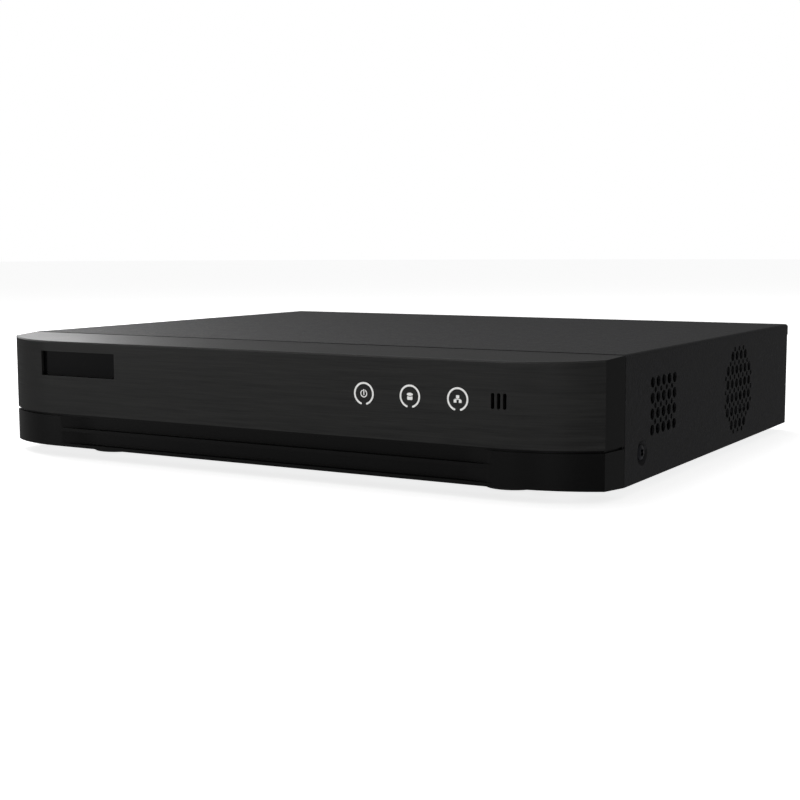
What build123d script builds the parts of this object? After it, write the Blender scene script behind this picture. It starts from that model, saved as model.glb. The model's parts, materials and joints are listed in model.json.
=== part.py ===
"""Compact video recorder: steel cover and tray, moulded bezel, boards, rear sockets, drive and fan.

Frame: +X right, +Y back, +Z up, seen from the front. The origin is on the surface that the feet
stand on, under the middle of the whole object. Lengths are in millimetres, angles in degrees.
"""
from build123d import *
import os
from math import asin, atan2, cos, degrees, hypot, radians, sin

os.makedirs("parts", exist_ok=True)

# ---------------------------------------------------------------- driving dimensions
width = 260.0
body_height = 43.5
cover_depth = 194.0
bezel_depth = 24.4
rear_reach = 11.4          # how far the longest rear socket stands out of the cover
foot_height = 3.2
sheet = 0.8                # steel sheet of the cover, the tray and the rear panel
wall_gap = 0.3             # between the cover's side and the tray's flange inside it
seam_gap = 0.25            # between the bezel's back edge and the cover's front edge
board_thickness = 1.6
standoff_height = 4.0
screw_radius = 1.5         # M3
shank_radius = 1.45        # its shank, drawn plain
hole_radius = 1.7          # clearance hole for M3
past = 1.0                 # how far a cut runs past the face that it starts or ends at

total_depth = bezel_depth + cover_depth + rear_reach
front_y = -total_depth / 2
seam_y = front_y + bezel_depth
back_y = seam_y + cover_depth
base_z = foot_height
top_z = base_z + body_height
half = width / 2
cover_inner_x = half - sheet
tray_half = cover_inner_x - wall_gap
floor_z = base_z + sheet                   # upper face of the tray's floor
panel_out_y = back_y - sheet               # outer face of the rear panel
panel_in_y = panel_out_y - sheet


# ---------------------------------------------------------------- small helpers
def block(x, y, z, mode=Mode.ADD):
    """Add or cut a box given by its low and high limit on each axis."""
    with Locations(((x[0] + x[1]) / 2, (y[0] + y[1]) / 2, (z[0] + z[1]) / 2)):
        Box(x[1] - x[0], y[1] - y[0], z[1] - z[0], mode=mode)


def rod(start, direction, radius, length, mode=Mode.ADD):
    """Add or cut a cylinder that starts at a point and runs along a direction."""
    with Locations(Plane(origin=start, z_dir=direction).location):
        Cylinder(radius, length, align=(Align.CENTER, Align.CENTER, Align.MIN), mode=mode)


def taper(start, direction, radius_a, radius_b, length, mode=Mode.ADD):
    """Add or cut a cone frustum that starts at a point and runs along a direction."""
    with Locations(Plane(origin=start, z_dir=direction).location):
        Cone(radius_a, radius_b, length, align=(Align.CENTER, Align.CENTER, Align.MIN), mode=mode)


def pan_screw(seat, direction, shank, length, head, head_height):
    """Add a pan-head screw. The head's underside is at seat, and the shank runs along direction."""
    back = tuple(-d for d in direction)
    rod(seat, direction, shank, length)
    rod(seat, back, head, head_height)
    top = tuple(s + b * head_height for s, b in zip(seat, back))
    with Locations(Plane(origin=top, z_dir=back).location):
        for turn in (0, 90):
            with Locations(Location((0, 0, 0), (0, 0, turn))):
                Box(head * 1.1, head * 0.24, head_height * 1.1, mode=Mode.SUBTRACT)


def keep(part, name):
    """Name a finished sub-part and write its file."""
    part.label = name
    export_step(part, f"parts/{name}.step")


up, down = (0, 0, 1), (0, 0, -1)
right, left = (1, 0, 0), (-1, 0, 0)
back, front = (0, 1, 0), (0, -1, 0)

# ---------------------------------------------------------------- bezel shape
end_radius = 50.0                          # rounded ends of the bezel, seen from above
end_x = 96.0                               # where the straight front turns into them
sharp_x = 128.3                            # sharp upright edge where the rounded end stops
end_turn = degrees(asin((sharp_x - end_x) / end_radius))
end_y = front_y + end_radius
plate_thickness = 1.2                      # brushed face plate
groove_z = base_z + 13.3
groove_width = 0.9
groove_depth = 1.0
bezel_low_z = base_z + 0.95                # lower front edge, above the tray's underside
bezel_top_front_z = base_z + 41.9
bezel_top_back_z = top_z - 0.15
bezel_back_y = seam_y - seam_gap
upper_z = groove_z + groove_width / 2
lower_z = groove_z - groove_width / 2


def front_line(inset):
    """Draw the bezel's front, straight in the middle and rounded at both ends, moved in by inset."""
    radius = end_radius - inset
    CenterArc((-end_x, end_y), radius, 270 - end_turn, end_turn)
    Line((-end_x, end_y - radius), (end_x, end_y - radius))
    CenterArc((end_x, end_y), radius, 270, end_turn)


def end_point(inset, side):
    """Where the rounded end stops: the sharp upright edge of the bezel."""
    radius = end_radius - inset
    turn = radians(end_turn)
    return (side * (end_x + radius * sin(turn)), end_y - radius * cos(turn))


def bezel_outline(inset):
    """Sketch the bezel seen from above, moved in by inset, open to the cover's front edge."""
    with BuildLine() as outline:
        front_line(inset)
        Polyline(end_point(inset, 1), (half - inset, seam_y), (inset - half, seam_y), end_point(inset, -1))
    make_face(outline.edges())


def front_band(thickness):
    """Sketch a band of even thickness along the front and the rounded ends."""
    with BuildLine() as outline:
        front_line(0)
        Line(end_point(0, 1), end_point(thickness, 1))
        front_line(thickness)
        Line(end_point(0, -1), end_point(thickness, -1))
    make_face(outline.edges())


def bezel_side():
    """Sketch the bezel seen from the side: its top and its underside lean a little."""
    Polygon(
        (front_y, bezel_low_z), (front_y, bezel_top_front_z), (bezel_back_y, bezel_top_back_z),
        (bezel_back_y, base_z), align=None,
    )


# nameplate window, indicators and sound slots on the front, as (x, z) places
window_x = (-103.6, -65.8)
window_z = (base_z + 28.5, base_z + 38.0)
window_pocket = 1.3                        # how far the nameplate's pocket goes into the bezel
indicator_z = base_z + 28.9
indicator_pitch = 18.0
indicator_mid_x = 63.5
indicator_xs = [indicator_mid_x + i * indicator_pitch for i in (-1, 0, 1)]
ring_radius = 3.6                          # middle of the ring's line
ring_line = 0.66
ring_gap = 38.0                            # open part at the bottom of each ring
inlay_depth = 0.35
slot_pitch = 2.15
slot_mid_x = 96.35
slot_z = base_z + 29.0
slot_height = 5.3
slot_width = 1.25
slot_places = [(slot_mid_x + i * slot_pitch, slot_z) for i in (-1, 0, 1)]
front_plane = Plane.XZ.offset(-front_y)    # looks out of the front, local x right and y up


def open_ring():
    """Sketch one indicator ring, open at the bottom, with rounded line ends."""
    Circle(ring_radius + ring_line / 2)
    Circle(ring_radius - ring_line / 2, mode=Mode.SUBTRACT)
    reach = ring_radius * 2
    wedge = radians(ring_gap / 2)
    Polygon(
        (0, 0), (-reach * sin(wedge), -reach * cos(wedge)), (reach * sin(wedge), -reach * cos(wedge)),
        align=None, mode=Mode.SUBTRACT,
    )
    for side in (-1, 1):
        with Locations((side * ring_radius * sin(wedge), -ring_radius * cos(wedge))):
            Circle(ring_line / 2)


def power_icon():
    """Sketch a broken circle with an upright bar."""
    Circle(1.35)
    Circle(1.0, mode=Mode.SUBTRACT)
    with Locations((0, 1.25)):
        Rectangle(0.9, 0.9, mode=Mode.SUBTRACT)
    with Locations((0, 0.45)):
        Rectangle(0.42, 2.0)


def disk_icon():
    """Sketch a drum: a lens shape over a rounded block."""
    with Locations((0, -0.58)):
        RectangleRounded(2.05, 1.3, 0.35)
    with Locations((0, 0.52)):
        Ellipse(1.28, 0.64, mode=Mode.SUBTRACT)
    with Locations((0, 0.66)):
        Ellipse(1.18, 0.53)


def network_icon():
    """Sketch one square linked to two squares below it."""
    with Locations((0, 0.8)):
        Rectangle(1.2, 1.0)
    with Locations((-0.96, -0.68), (0.96, -0.68)):
        Rectangle(1.05, 0.98)
    with Locations((0, -0.02)):
        Rectangle(2.16, 0.26)
    with Locations((0, 0.18)):
        Rectangle(0.3, 0.6)
    with Locations((-0.96, -0.17), (0.96, -0.17)):
        Rectangle(0.25, 0.36)


icons = (power_icon, disk_icon, network_icon)

# ---------------------------------------------------------------- front bezel
scoop_half = 94.0                          # crisp ends of the scooped recess in the lower band
scoop_ramp = 16.0                          # length of its curved ramps
scoop_depth = 3.0
scoop_radius = (scoop_ramp ** 2 + scoop_depth ** 2) / (2 * scoop_depth)
scoop_turn = degrees(atan2(scoop_ramp, scoop_radius - scoop_depth))
rib_z = (base_z + 7.0, base_z + 8.3)
lip_z = base_z + 2.2
bezel_wall = 2.0
upper_inset = plate_thickness + bezel_wall
lower_inset = scoop_depth + bezel_wall + 0.2
shelf_z = base_z + 16.5                    # where the thick lower wall meets the thin upper one
roof_z = base_z + 40.0
nose_y = front_y + 10.4                    # front face of the tray's front flange
nose_half = 118.0
nose_gap = 0.4                             # between the flange and the bezel round it
boss_x = 104.0
boss_y = seam_y - 6.6
boss_radius = 3.5
boss_bore = 1.25
guide_radius = 4.6                         # light pipe barrels
lower_floor_z = bezel_low_z + 1.5          # inside of the bezel's underside
bezel_rib_xs = (-90.0, -50.0, -10.0, 25.0) # stiffening ribs behind the front wall

with BuildPart() as front_bezel:
    with BuildSketch(Plane.XY.offset(base_z)):
        bezel_outline(0)
    extrude(amount=body_height)
    with BuildSketch(Plane.YZ):
        bezel_side()
    extrude(amount=width, both=True, mode=Mode.INTERSECT)
    # seat of the face plate
    with BuildSketch(Plane.XY.offset(upper_z)):
        front_band(plate_thickness)
    extrude(amount=body_height, mode=Mode.SUBTRACT)
    # groove between the two bands, round the front and the side facets
    with BuildSketch(Plane.XY.offset(lower_z)):
        bezel_outline(-1)
        with BuildLine() as core:
            front_line(groove_depth)
            Polyline(
                end_point(groove_depth, 1), (half - groove_depth, seam_y + 1),
                (groove_depth - half, seam_y + 1), end_point(groove_depth, -1),
            )
        make_face(core.edges(), mode=Mode.SUBTRACT)
    extrude(amount=groove_width, mode=Mode.SUBTRACT)
    # hollow inside: thick lower wall behind the scoop, thin upper wall
    with BuildSketch(Plane.XY.offset(shelf_z)):
        bezel_outline(upper_inset)
    extrude(amount=roof_z - shelf_z, mode=Mode.SUBTRACT)
    with BuildSketch(Plane.XY.offset(lower_floor_z)):
        bezel_outline(lower_inset)
    extrude(amount=shelf_z - lower_floor_z, mode=Mode.SUBTRACT)
    block(
        (-nose_half - nose_gap, nose_half + nose_gap), (nose_y - nose_gap, seam_y + past),
        (base_z - past, shelf_z), Mode.SUBTRACT,
    )
    # scooped recess with curved ramps, left whole along the middle rib
    for low, high in ((lip_z, rib_z[0]), (rib_z[1], lower_z)):
        with BuildSketch(Plane.XY.offset(low)):
            with BuildLine() as scoop:
                floor_x = scoop_half - scoop_ramp
                arc_y = front_y + scoop_depth - scoop_radius
                CenterArc((floor_x, arc_y), scoop_radius, 90 - scoop_turn, scoop_turn)
                Line((floor_x, front_y + scoop_depth), (-floor_x, front_y + scoop_depth))
                CenterArc((-floor_x, arc_y), scoop_radius, 90, scoop_turn)
                Polyline(
                    (-scoop_half, front_y), (-scoop_half, front_y - past), (scoop_half, front_y - past),
                    (scoop_half, front_y),
                )
            make_face(scoop.edges())
        extrude(amount=high - low, mode=Mode.SUBTRACT)
    # pocket of the nameplate, then light pipe holes and sound slots through the upper wall
    block(window_x, (front_y, front_y + plate_thickness + window_pocket), window_z, Mode.SUBTRACT)
    for x in indicator_xs:
        rod((x, front_y, indicator_z), back, guide_radius + 0.15, upper_inset + past, Mode.SUBTRACT)
    with BuildSketch(front_plane):
        with Locations(*slot_places):
            SlotOverall(slot_height, slot_width, rotation=90)
    extrude(amount=-upper_inset - past, mode=Mode.SUBTRACT)
    # screw bosses down from the roof, and stiffening ribs behind the front wall
    for side in (-1, 1):
        rod((side * boss_x, boss_y, floor_z + 0.05), up, boss_radius, roof_z + past - floor_z)
        rod((side * boss_x, boss_y, floor_z - past), up, boss_bore, 13, Mode.SUBTRACT)
    for x in bezel_rib_xs:
        block(
            (x - 0.6, x + 0.6), (front_y + upper_inset - 0.5, front_y + upper_inset + 3),
            (shelf_z, roof_z + past),
        )
keep(front_bezel.part, "front_bezel")


def on_front_line(edge):
    """True for an edge on the outer face of the face plate, near its top."""
    middle = edge @ 0.5
    beyond = abs(middle.X) - end_x
    depth = middle.Y - front_y if beyond <= 0 else end_radius - hypot(beyond, middle.Y - end_y)
    return abs(depth) < 0.01 and middle.Z > bezel_top_front_z - 0.5


with BuildPart() as face_plate:
    with BuildSketch(Plane.XY.offset(upper_z)):
        front_band(plate_thickness)
    extrude(amount=body_height)
    with BuildSketch(Plane.YZ):
        bezel_side()
    extrude(amount=width, both=True, mode=Mode.INTERSECT)
    chamfer(face_plate.edges().filter_by(on_front_line), 0.5)
    block(window_x, (front_y - past, front_y + plate_thickness + past), window_z, Mode.SUBTRACT)
    with BuildSketch(front_plane):
        with Locations(*slot_places):
            SlotOverall(slot_height, slot_width, rotation=90)
    extrude(amount=-plate_thickness - past, mode=Mode.SUBTRACT)
    with BuildSketch(front_plane):
        with Locations(*[(x, indicator_z) for x in indicator_xs]):
            open_ring()
        for x, icon in zip(indicator_xs, icons):
            with Locations((x, indicator_z)):
                with BuildSketch(Plane.XY, mode=Mode.PRIVATE) as mark:
                    icon()
                add(mark.sketch)
    extrude(amount=-inlay_depth, mode=Mode.SUBTRACT)
keep(face_plate.part, "face_plate")

insert_gap = 0.15
insert_thickness = 0.4
with BuildPart() as name_insert:
    pocket_floor_y = front_y + plate_thickness + window_pocket
    block(
        (window_x[0] + insert_gap, window_x[1] - insert_gap),
        (pocket_floor_y - insert_thickness, pocket_floor_y),
        (window_z[0] + insert_gap, window_z[1] - insert_gap),
    )
keep(name_insert.part, "name_insert")

with BuildPart() as indicator_rings:
    with BuildSketch(front_plane):
        with Locations(*[(x, indicator_z) for x in indicator_xs]):
            open_ring()
    extrude(amount=-inlay_depth)
keep(indicator_rings.part, "indicator_rings")

with BuildPart() as indicator_icons:
    for x, icon in zip(indicator_xs, icons):
        with BuildSketch(front_plane):
            with Locations((x, indicator_z)):
                icon()
        extrude(amount=-inlay_depth)
keep(indicator_icons.part, "indicator_icons")

# ---------------------------------------------------------------- front board, lights and sounder
board_face_y = front_y + 7.2               # side of the front board that carries the LEDs
front_board_thickness = 1.2
front_board_x = (34.0, 112.0)
front_board_z = (base_z + 18.0, base_z + 38.0)
front_screw_xs = (39.0, 107.5)
front_screw_z = base_z + 34.0
web_y = front_y + upper_inset + 0.05       # light pipe's web lies on the bezel's inner face
led_size = (3.2, 1.0, 2.8)
sounder_radius = 4.0
sounder_height = 3.2
lead_header_size = (8.0, 7.0, 6.0)         # pin headers that the leads plug into
front_header_x = 71.0
front_header_z = base_z + 23.0
front_header_y = board_face_y + front_board_thickness

with BuildPart() as light_pipe:
    for x in indicator_xs:
        rod((x, front_y + plate_thickness + 0.05, indicator_z), back, guide_radius, 4.5)
    block(
        (indicator_xs[0] - 6, indicator_xs[2] + 6), (web_y, web_y + 1.2),
        (indicator_z - 5.5, indicator_z + 5.5),
    )
keep(light_pipe.part, "light_pipe")

with BuildPart() as status_leds:
    w, d, h = led_size
    for x in indicator_xs:
        block(
            (x - w / 2, x + w / 2), (board_face_y - d, board_face_y),
            (indicator_z - h / 2, indicator_z + h / 2),
        )
keep(status_leds.part, "status_leds")

with BuildPart() as front_board:
    block(front_board_x, (board_face_y, board_face_y + front_board_thickness), front_board_z)
    fillet(front_board.edges().filter_by(Axis.Y), 1.5)
    for x in front_screw_xs:
        rod((x, board_face_y - past, front_screw_z), back, hole_radius, 4, Mode.SUBTRACT)
keep(front_board.part, "front_board")

with BuildPart() as sounder:
    rod((slot_mid_x, board_face_y, slot_z), front, sounder_radius, sounder_height)
    fillet(sounder.edges().sort_by(Axis.Y)[0], 0.5)
    rod((slot_mid_x, board_face_y - sounder_height - 0.1, slot_z), back, 0.9, 1.5, Mode.SUBTRACT)
keep(sounder.part, "sounder")

# ---------------------------------------------------------------- base tray
flange_height = 14.0
nose_height = 38.0
side_screw_y = seam_y + 16.0
side_screw_z = base_z + 9.6
dish_radius = 4.6
dish_floor_radius = 3.2
dish_depth = 1.3
foot_radius = 10.5
foot_recess_radius = 4.0
foot_x = 88.5
foot_front_y = seam_y + 3.2
foot_back_y = back_y - 22.0
foot_places = [(x, y) for y in (foot_front_y, foot_back_y) for x in (-foot_x, foot_x)]

drive_length = 147.0
drive_width = 101.6
drive_height = 26.1
drive_pad = 3.0
drive_x0 = -124.0
drive_x1 = drive_x0 + drive_length         # end with the sockets
drive_y0 = seam_y + 3.5
drive_y1 = drive_y0 + drive_width
drive_y = (drive_y0 + drive_y1) / 2
drive_z = floor_z + drive_pad
drive_hole_inset = 3.18                    # standard hole pattern on a 3.5 inch drive's underside
drive_hole_from_end = 41.28
drive_hole_pitch = 44.45
drive_screw_places = [
    (drive_x1 - drive_hole_from_end - i * drive_hole_pitch, y)
    for i in (0, 1) for y in (drive_y0 + drive_hole_inset, drive_y1 - drive_hole_inset)
]

pad_radius = 6.0
drive_hole_radius = 2.1
floor_slot_middle = (-36.0, 56.0)
floor_slot_pitch = (9.0, 26.0)
floor_slot_size = (16.0, 2.6)
header_window = (14.0, 10.0)               # opening in the front flange for the front board's lead

board_x = (-124.0, 110.0)
board_y = (16.0, panel_in_y - 0.5)
board_z = floor_z + standoff_height
board_top = board_z + board_thickness
standoff_places = [(-119.5, 22.0), (-15.0, 22.0), (84.5, 24.0), (-119.5, 94.5), (-15.0, 94.5), (105.0, 94.5)]

fan_size = 40.0
fan_depth = 10.0
fan_y = seam_y + 122.2
fan_z = base_z + 21.25
fan_bore = 18.6
fan_pitch = 32.0                           # between its screw holes
fan_x1 = tray_half - sheet - 1.2           # side of the fan that faces the vent
fan_x0 = fan_x1 - fan_depth
bracket_foot_ys = (fan_y - 26.0, fan_y + 26.0)
bracket_foot_x = fan_x1 - 6.0

with BuildPart() as base_tray:
    block((-tray_half, tray_half), (seam_y + 0.3, panel_out_y), (base_z, floor_z))
    block((-nose_half, nose_half), (nose_y, seam_y + 0.3), (base_z, floor_z))
    block((-nose_half, nose_half), (nose_y, nose_y + sheet), (base_z, base_z + nose_height))
    for side in (-1, 1):
        edge = sorted((side * tray_half, side * (tray_half - sheet)))
        block(edge, (seam_y + 1.5, panel_in_y - 0.3), (base_z, base_z + flange_height))
        # inward dish of the side screw, behind the dish in the cover
        inward = (-side, 0, 0)
        taper(
            (side * (tray_half - sheet), side_screw_y, side_screw_z), inward,
            dish_radius + 1.0, dish_floor_radius + 1.2, dish_depth,
        )
        taper(
            (side * (tray_half + 0.01), side_screw_y, side_screw_z), inward,
            dish_radius + 0.3, dish_floor_radius + 0.4, dish_depth + 0.01, Mode.SUBTRACT,
        )
        rod((side * (tray_half + past), side_screw_y, side_screw_z), inward, screw_radius, 6, Mode.SUBTRACT)
    # raised pads under the drive, with a hole for each drive screw
    for x, y in drive_screw_places:
        rod((x, y, floor_z), up, pad_radius, drive_pad)
        rod((x, y, base_z - past), up, drive_hole_radius, 8, Mode.SUBTRACT)
        rod((x, y, base_z - past), up, pad_radius - 1.6, past + drive_pad, Mode.SUBTRACT)
    # standoff holes, bezel screw holes, and the screw seats and lead window of the front flange
    for x, y in standoff_places:
        rod((x, y, base_z - past), up, screw_radius + 0.1, 4, Mode.SUBTRACT)
    for side in (-1, 1):
        rod((side * boss_x, boss_y, base_z - past), up, hole_radius, 4, Mode.SUBTRACT)
    for x in front_screw_xs:
        rod((x, nose_y, front_screw_z), front, 2 * screw_radius, nose_y - front_header_y)
        rod((x, nose_y - 4, front_screw_z), back, screw_radius, 6, Mode.SUBTRACT)
    block(
        (front_header_x - header_window[0] / 2, front_header_x + header_window[0] / 2),
        (nose_y - past, nose_y + sheet + past),
        (front_header_z - header_window[1] / 2, front_header_z + header_window[1] / 2), Mode.SUBTRACT,
    )
    for y in bracket_foot_ys:
        rod((bracket_foot_x, y, base_z - past), up, screw_radius, 4, Mode.SUBTRACT)
    # rows of cooling slots in the floor under the mainboard
    with BuildSketch(Plane.XY.offset(base_z)):
        with GridLocations(*floor_slot_pitch, 9, 2):
            with Locations(floor_slot_middle):
                SlotOverall(*floor_slot_size, rotation=90)
    extrude(amount=sheet, mode=Mode.SUBTRACT)
    # folded front corners
    fillet(base_tray.edges().filter_by(Axis.Y).filter_by_position(Axis.X, -nose_half - 1, nose_half + 1)
           .filter_by_position(Axis.Z, base_z + nose_height - 0.1, top_z), 3)
keep(base_tray.part, "base_tray")

with BuildPart() as rubber_feet:
    for x, y in foot_places:
        taper((x, y, base_z), down, foot_radius, foot_radius - 0.6, foot_height)
    fillet(rubber_feet.edges().group_by(Axis.Z)[0], 0.5)
    for x, y in foot_places:
        rod((x, y, 0), up, foot_recess_radius, 0.8, Mode.SUBTRACT)
keep(rubber_feet.part, "rubber_feet")

# ---------------------------------------------------------------- top cover
vent_pitch = 5.45
vent_radius = 1.9
pin_vent_radius = 1.0
square_vent_y = seam_y + 36.0
square_vent_z = base_z + 24.3
round_vent_y = fan_y
round_vent_z = fan_z
lip_height = 4.6
tab_width = 11.0
tab_height = 11.0
tab_xs = (-104.0, -15.0, 120.0)
tab_screw_z = top_z - 7.4


def vent_sketch(place, columns, rows, corners):
    """Sketch a grid of round vents with a small vent between each four; corners may be left out."""
    first_y = place[0] - (columns - 1) / 2 * vent_pitch
    first_z = place[1] - (rows - 1) / 2 * vent_pitch
    for i in range(columns):
        for j in range(rows):
            at_corner = i in (0, columns - 1) and j in (0, rows - 1)
            if corners or not at_corner:
                with Locations((first_y + i * vent_pitch, first_z + j * vent_pitch)):
                    Circle(vent_radius)
            if i < columns - 1 and j < rows - 1:
                with Locations((first_y + (i + 0.5) * vent_pitch, first_z + (j + 0.5) * vent_pitch)):
                    Circle(pin_vent_radius)


with BuildPart() as top_cover:
    block((-half, half), (seam_y, back_y), (base_z, top_z))
    fillet(top_cover.edges().filter_by(Axis.Y).group_by(Axis.Z)[-1], 1.2)
    fillet(top_cover.edges().filter_by(Axis.X).group_by(Axis.Z)[-1].sort_by(Axis.Y)[-1], 1.0)
    block(
        (-cover_inner_x, cover_inner_x), (seam_y - past, back_y - sheet), (base_z - past, top_z - sheet),
        Mode.SUBTRACT,
    )
    # leave a lip and three screw tabs of the back wall
    edges_x = (-half - past, *[x + d * tab_width / 2 for x in tab_xs for d in (-1, 1)], half + past)
    wall_y = (back_y - 2 * sheet, back_y + past)
    for gap_x in zip(edges_x[0::2], edges_x[1::2]):
        block(gap_x, wall_y, (base_z - past, top_z - lip_height), Mode.SUBTRACT)
    block((-half - past, half + past), wall_y, (base_z - past, top_z - tab_height), Mode.SUBTRACT)
    for x in tab_xs:
        rod((x, back_y + past, tab_screw_z), front, hole_radius, 4, Mode.SUBTRACT)
    for side in (-1, 1):
        inward = (-side, 0, 0)
        taper(
            (side * cover_inner_x, side_screw_y, side_screw_z), inward,
            dish_radius, dish_floor_radius + 0.3, dish_depth - 0.1,
        )
        taper(
            (side * (half + 0.01), side_screw_y, side_screw_z), inward,
            dish_radius, dish_floor_radius, dish_depth + 0.01, Mode.SUBTRACT,
        )
        rod((side * (half + past), side_screw_y, side_screw_z), inward, hole_radius, 6, Mode.SUBTRACT)
    # vents: a rectangular group near the front on both sides, and one at the back on each side
    with BuildSketch(Plane.YZ.offset(cover_inner_x - 1)):
        vent_sketch((square_vent_y, square_vent_z), 5, 4, True)
        vent_sketch((round_vent_y, round_vent_z), 6, 6, False)
        for i in (-3, 3):
            for j in (-1, 0, 1):
                with Locations(
                    (round_vent_y + i * vent_pitch, round_vent_z + j * vent_pitch),
                    (round_vent_y + j * vent_pitch, round_vent_z + i * vent_pitch),
                ):
                    Circle(pin_vent_radius)
    extrude(amount=3, mode=Mode.SUBTRACT)
    with BuildSketch(Plane.YZ.offset(-half - 1)):
        vent_sketch((square_vent_y, square_vent_z), 5, 4, True)
        vent_sketch((round_vent_y, square_vent_z), 9, 4, True)
    extrude(amount=3, mode=Mode.SUBTRACT)
keep(top_cover.part, "top_cover")

with BuildPart() as cover_screws:
    for side in (-1, 1):
        seat = (side * (half - dish_depth), side_screw_y, side_screw_z)
        pan_screw(seat, (-side, 0, 0), shank_radius, 4, 2.75, 1.25)
    for x in tab_xs:
        pan_screw((x, back_y, tab_screw_z), front, shank_radius, 4, 2.75, 1.25)
keep(cover_screws.part, "cover_screws")

with BuildPart() as bezel_screws:
    for side in (-1, 1):
        pan_screw((side * boss_x, boss_y, base_z), up, 1.2, 9, 2.6, 1.4)
keep(bezel_screws.part, "bezel_screws")

# ---------------------------------------------------------------- rear panel and its sockets
socket_gap = 0.3                           # between a socket and the edge of its cut-out
panel_top_z = top_z - sheet - 0.2
panel_flange = 7.0
socket_front_y = panel_in_y - socket_gap   # rear face of the socket bodies behind the panel
tip_y = back_y + rear_reach
bnc_xs = (62.0, 84.0)
bnc_zs = (board_top + 8.5, board_top + 24.9)
bnc_places = [(x, z) for x in bnc_xs for z in bnc_zs]
bnc_base_radius = 6.2
bnc_radius = 4.8
bnc_bore = 4.05
rca_x = 38.0
rca_zs = (board_top + 7.4, board_top + 21.6)
rca_base_radius = 5.2
rca_radius = 4.15
rca_bore = 3.4
vga_x = 6.0
vga_z = board_top + 6.25
vga_post_reach = 12.5
vga_hole = (18.2, 9.6)
vga_wall = 0.5
vga_reach = 5.8                            # how far the D shell stands out of the panel
hdmi_x = -29.0
hdmi_size = (15.0, 5.6)
hdmi_z = board_top + 3.2
network_x = -54.0
network_size = (16.0, 13.4)
usb_x = -76.0
usb_size = (14.5, 15.6)
usb_zs = (board_top + 4.3, board_top + 11.3)
terminal_x = -95.0
terminal_size = (11.0, 12.0)
inlet_x = -112.0
inlet_size = (9.0, 11.0)
ground_place = (108.0, base_z + 12.0)
back_plane = Plane.XZ.offset(-panel_in_y)  # local x right and y up; back is the negative side

with BuildPart() as rear_panel:
    block((-tray_half, tray_half), (panel_in_y, panel_out_y), (floor_z, panel_top_z))
    for side in (-1, 1):
        edge = sorted((side * (tray_half - sheet), side * (tray_half - 2 * sheet)))
        block(edge, (panel_in_y - panel_flange, panel_in_y), (floor_z, panel_top_z))
    for low in (floor_z, panel_top_z - sheet):
        block((2 - tray_half, tray_half - 2), (panel_in_y - 4, panel_in_y), (low, low + sheet))
    with BuildSketch(back_plane):
        with Locations(*bnc_places):
            Circle(bnc_base_radius + socket_gap)
        with Locations(*[(rca_x, z) for z in rca_zs]):
            Circle(rca_base_radius + socket_gap)
        with Locations((vga_x, vga_z)):
            RectangleRounded(*vga_hole, 2)
        with Locations((vga_x - vga_post_reach, vga_z), (vga_x + vga_post_reach, vga_z)):
            Circle(1.9)
        with Locations((hdmi_x, hdmi_z)):
            Rectangle(hdmi_size[0] + 2 * socket_gap, hdmi_size[1] + 2 * socket_gap)
        for x, size in (
            (network_x, network_size), (usb_x, usb_size), (terminal_x, terminal_size), (inlet_x, inlet_size),
        ):
            with Locations((x, board_top + size[1] / 2)):
                Rectangle(size[0] + 2 * socket_gap, size[1] + 2 * socket_gap)
        with Locations(ground_place):
            Circle(screw_radius)
        with Locations(*[(x, tab_screw_z) for x in tab_xs]):
            Circle(screw_radius)
        # cooling slots above the low sockets
        with Locations((-58, base_z + 31.5)):
            with GridLocations(4.5, 1, 15, 1):
                SlotOverall(12, 2.2, rotation=90)
    extrude(amount=-sheet, mode=Mode.SUBTRACT)
keep(rear_panel.part, "rear_panel")

with BuildPart() as bnc_housings:
    for x in bnc_xs:
        block((x - 8, x + 8), (socket_front_y - 19, socket_front_y), (board_top, bnc_zs[1] + 8))
    fillet(bnc_housings.edges().filter_by(Axis.Y).group_by(Axis.Z)[-1], 1)
keep(bnc_housings.part, "bnc_housings")

with BuildPart() as bnc_shells:
    for x, z in bnc_places:
        rod((x, socket_front_y, z), back, bnc_base_radius, panel_out_y + 1.4 - socket_front_y)
        rod((x, socket_front_y, z), back, bnc_radius, tip_y - socket_front_y)
        for turn in (left, right):
            rod((x, tip_y - 4.2, z), turn, 1.0, bnc_radius + 0.75)
        rod((x, socket_front_y, z), back, bnc_bore, tip_y, Mode.SUBTRACT)
keep(bnc_shells.part, "bnc_shells")

with BuildPart() as bnc_insulators:
    for x, z in bnc_places:
        rod((x, socket_front_y, z), back, bnc_bore, 4)
        rod((x, socket_front_y, z), back, 2.35, tip_y - 1.8 - socket_front_y)
        rod((x, tip_y - 8, z), back, 0.7, 9, Mode.SUBTRACT)
keep(bnc_insulators.part, "bnc_insulators")

with BuildPart() as rca_block:
    block((rca_x - 5.5, rca_x + 5.5), (socket_front_y - 13, socket_front_y), (board_top, rca_zs[1] + 6.5))
    fillet(rca_block.edges().filter_by(Axis.Y).group_by(Axis.Z)[-1], 1)
keep(rca_block.part, "rca_block")

with BuildPart() as rca_barrels:
    for z in rca_zs:
        rod((rca_x, socket_front_y, z), back, rca_base_radius, panel_out_y + 0.9 - socket_front_y)
        rod((rca_x, socket_front_y, z), back, rca_radius, panel_out_y + 9.2 - socket_front_y)
        rod((rca_x, socket_front_y, z), back, rca_bore, 20, Mode.SUBTRACT)
keep(rca_barrels.part, "rca_barrels")

with BuildPart() as rca_inserts:
    for z in rca_zs:
        rod((rca_x, socket_front_y, z), back, rca_bore, panel_out_y + 8.6 - socket_front_y)
        rod((rca_x, panel_in_y, z), back, 1.65, 12, Mode.SUBTRACT)
keep(rca_inserts.part, "rca_inserts")


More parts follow.
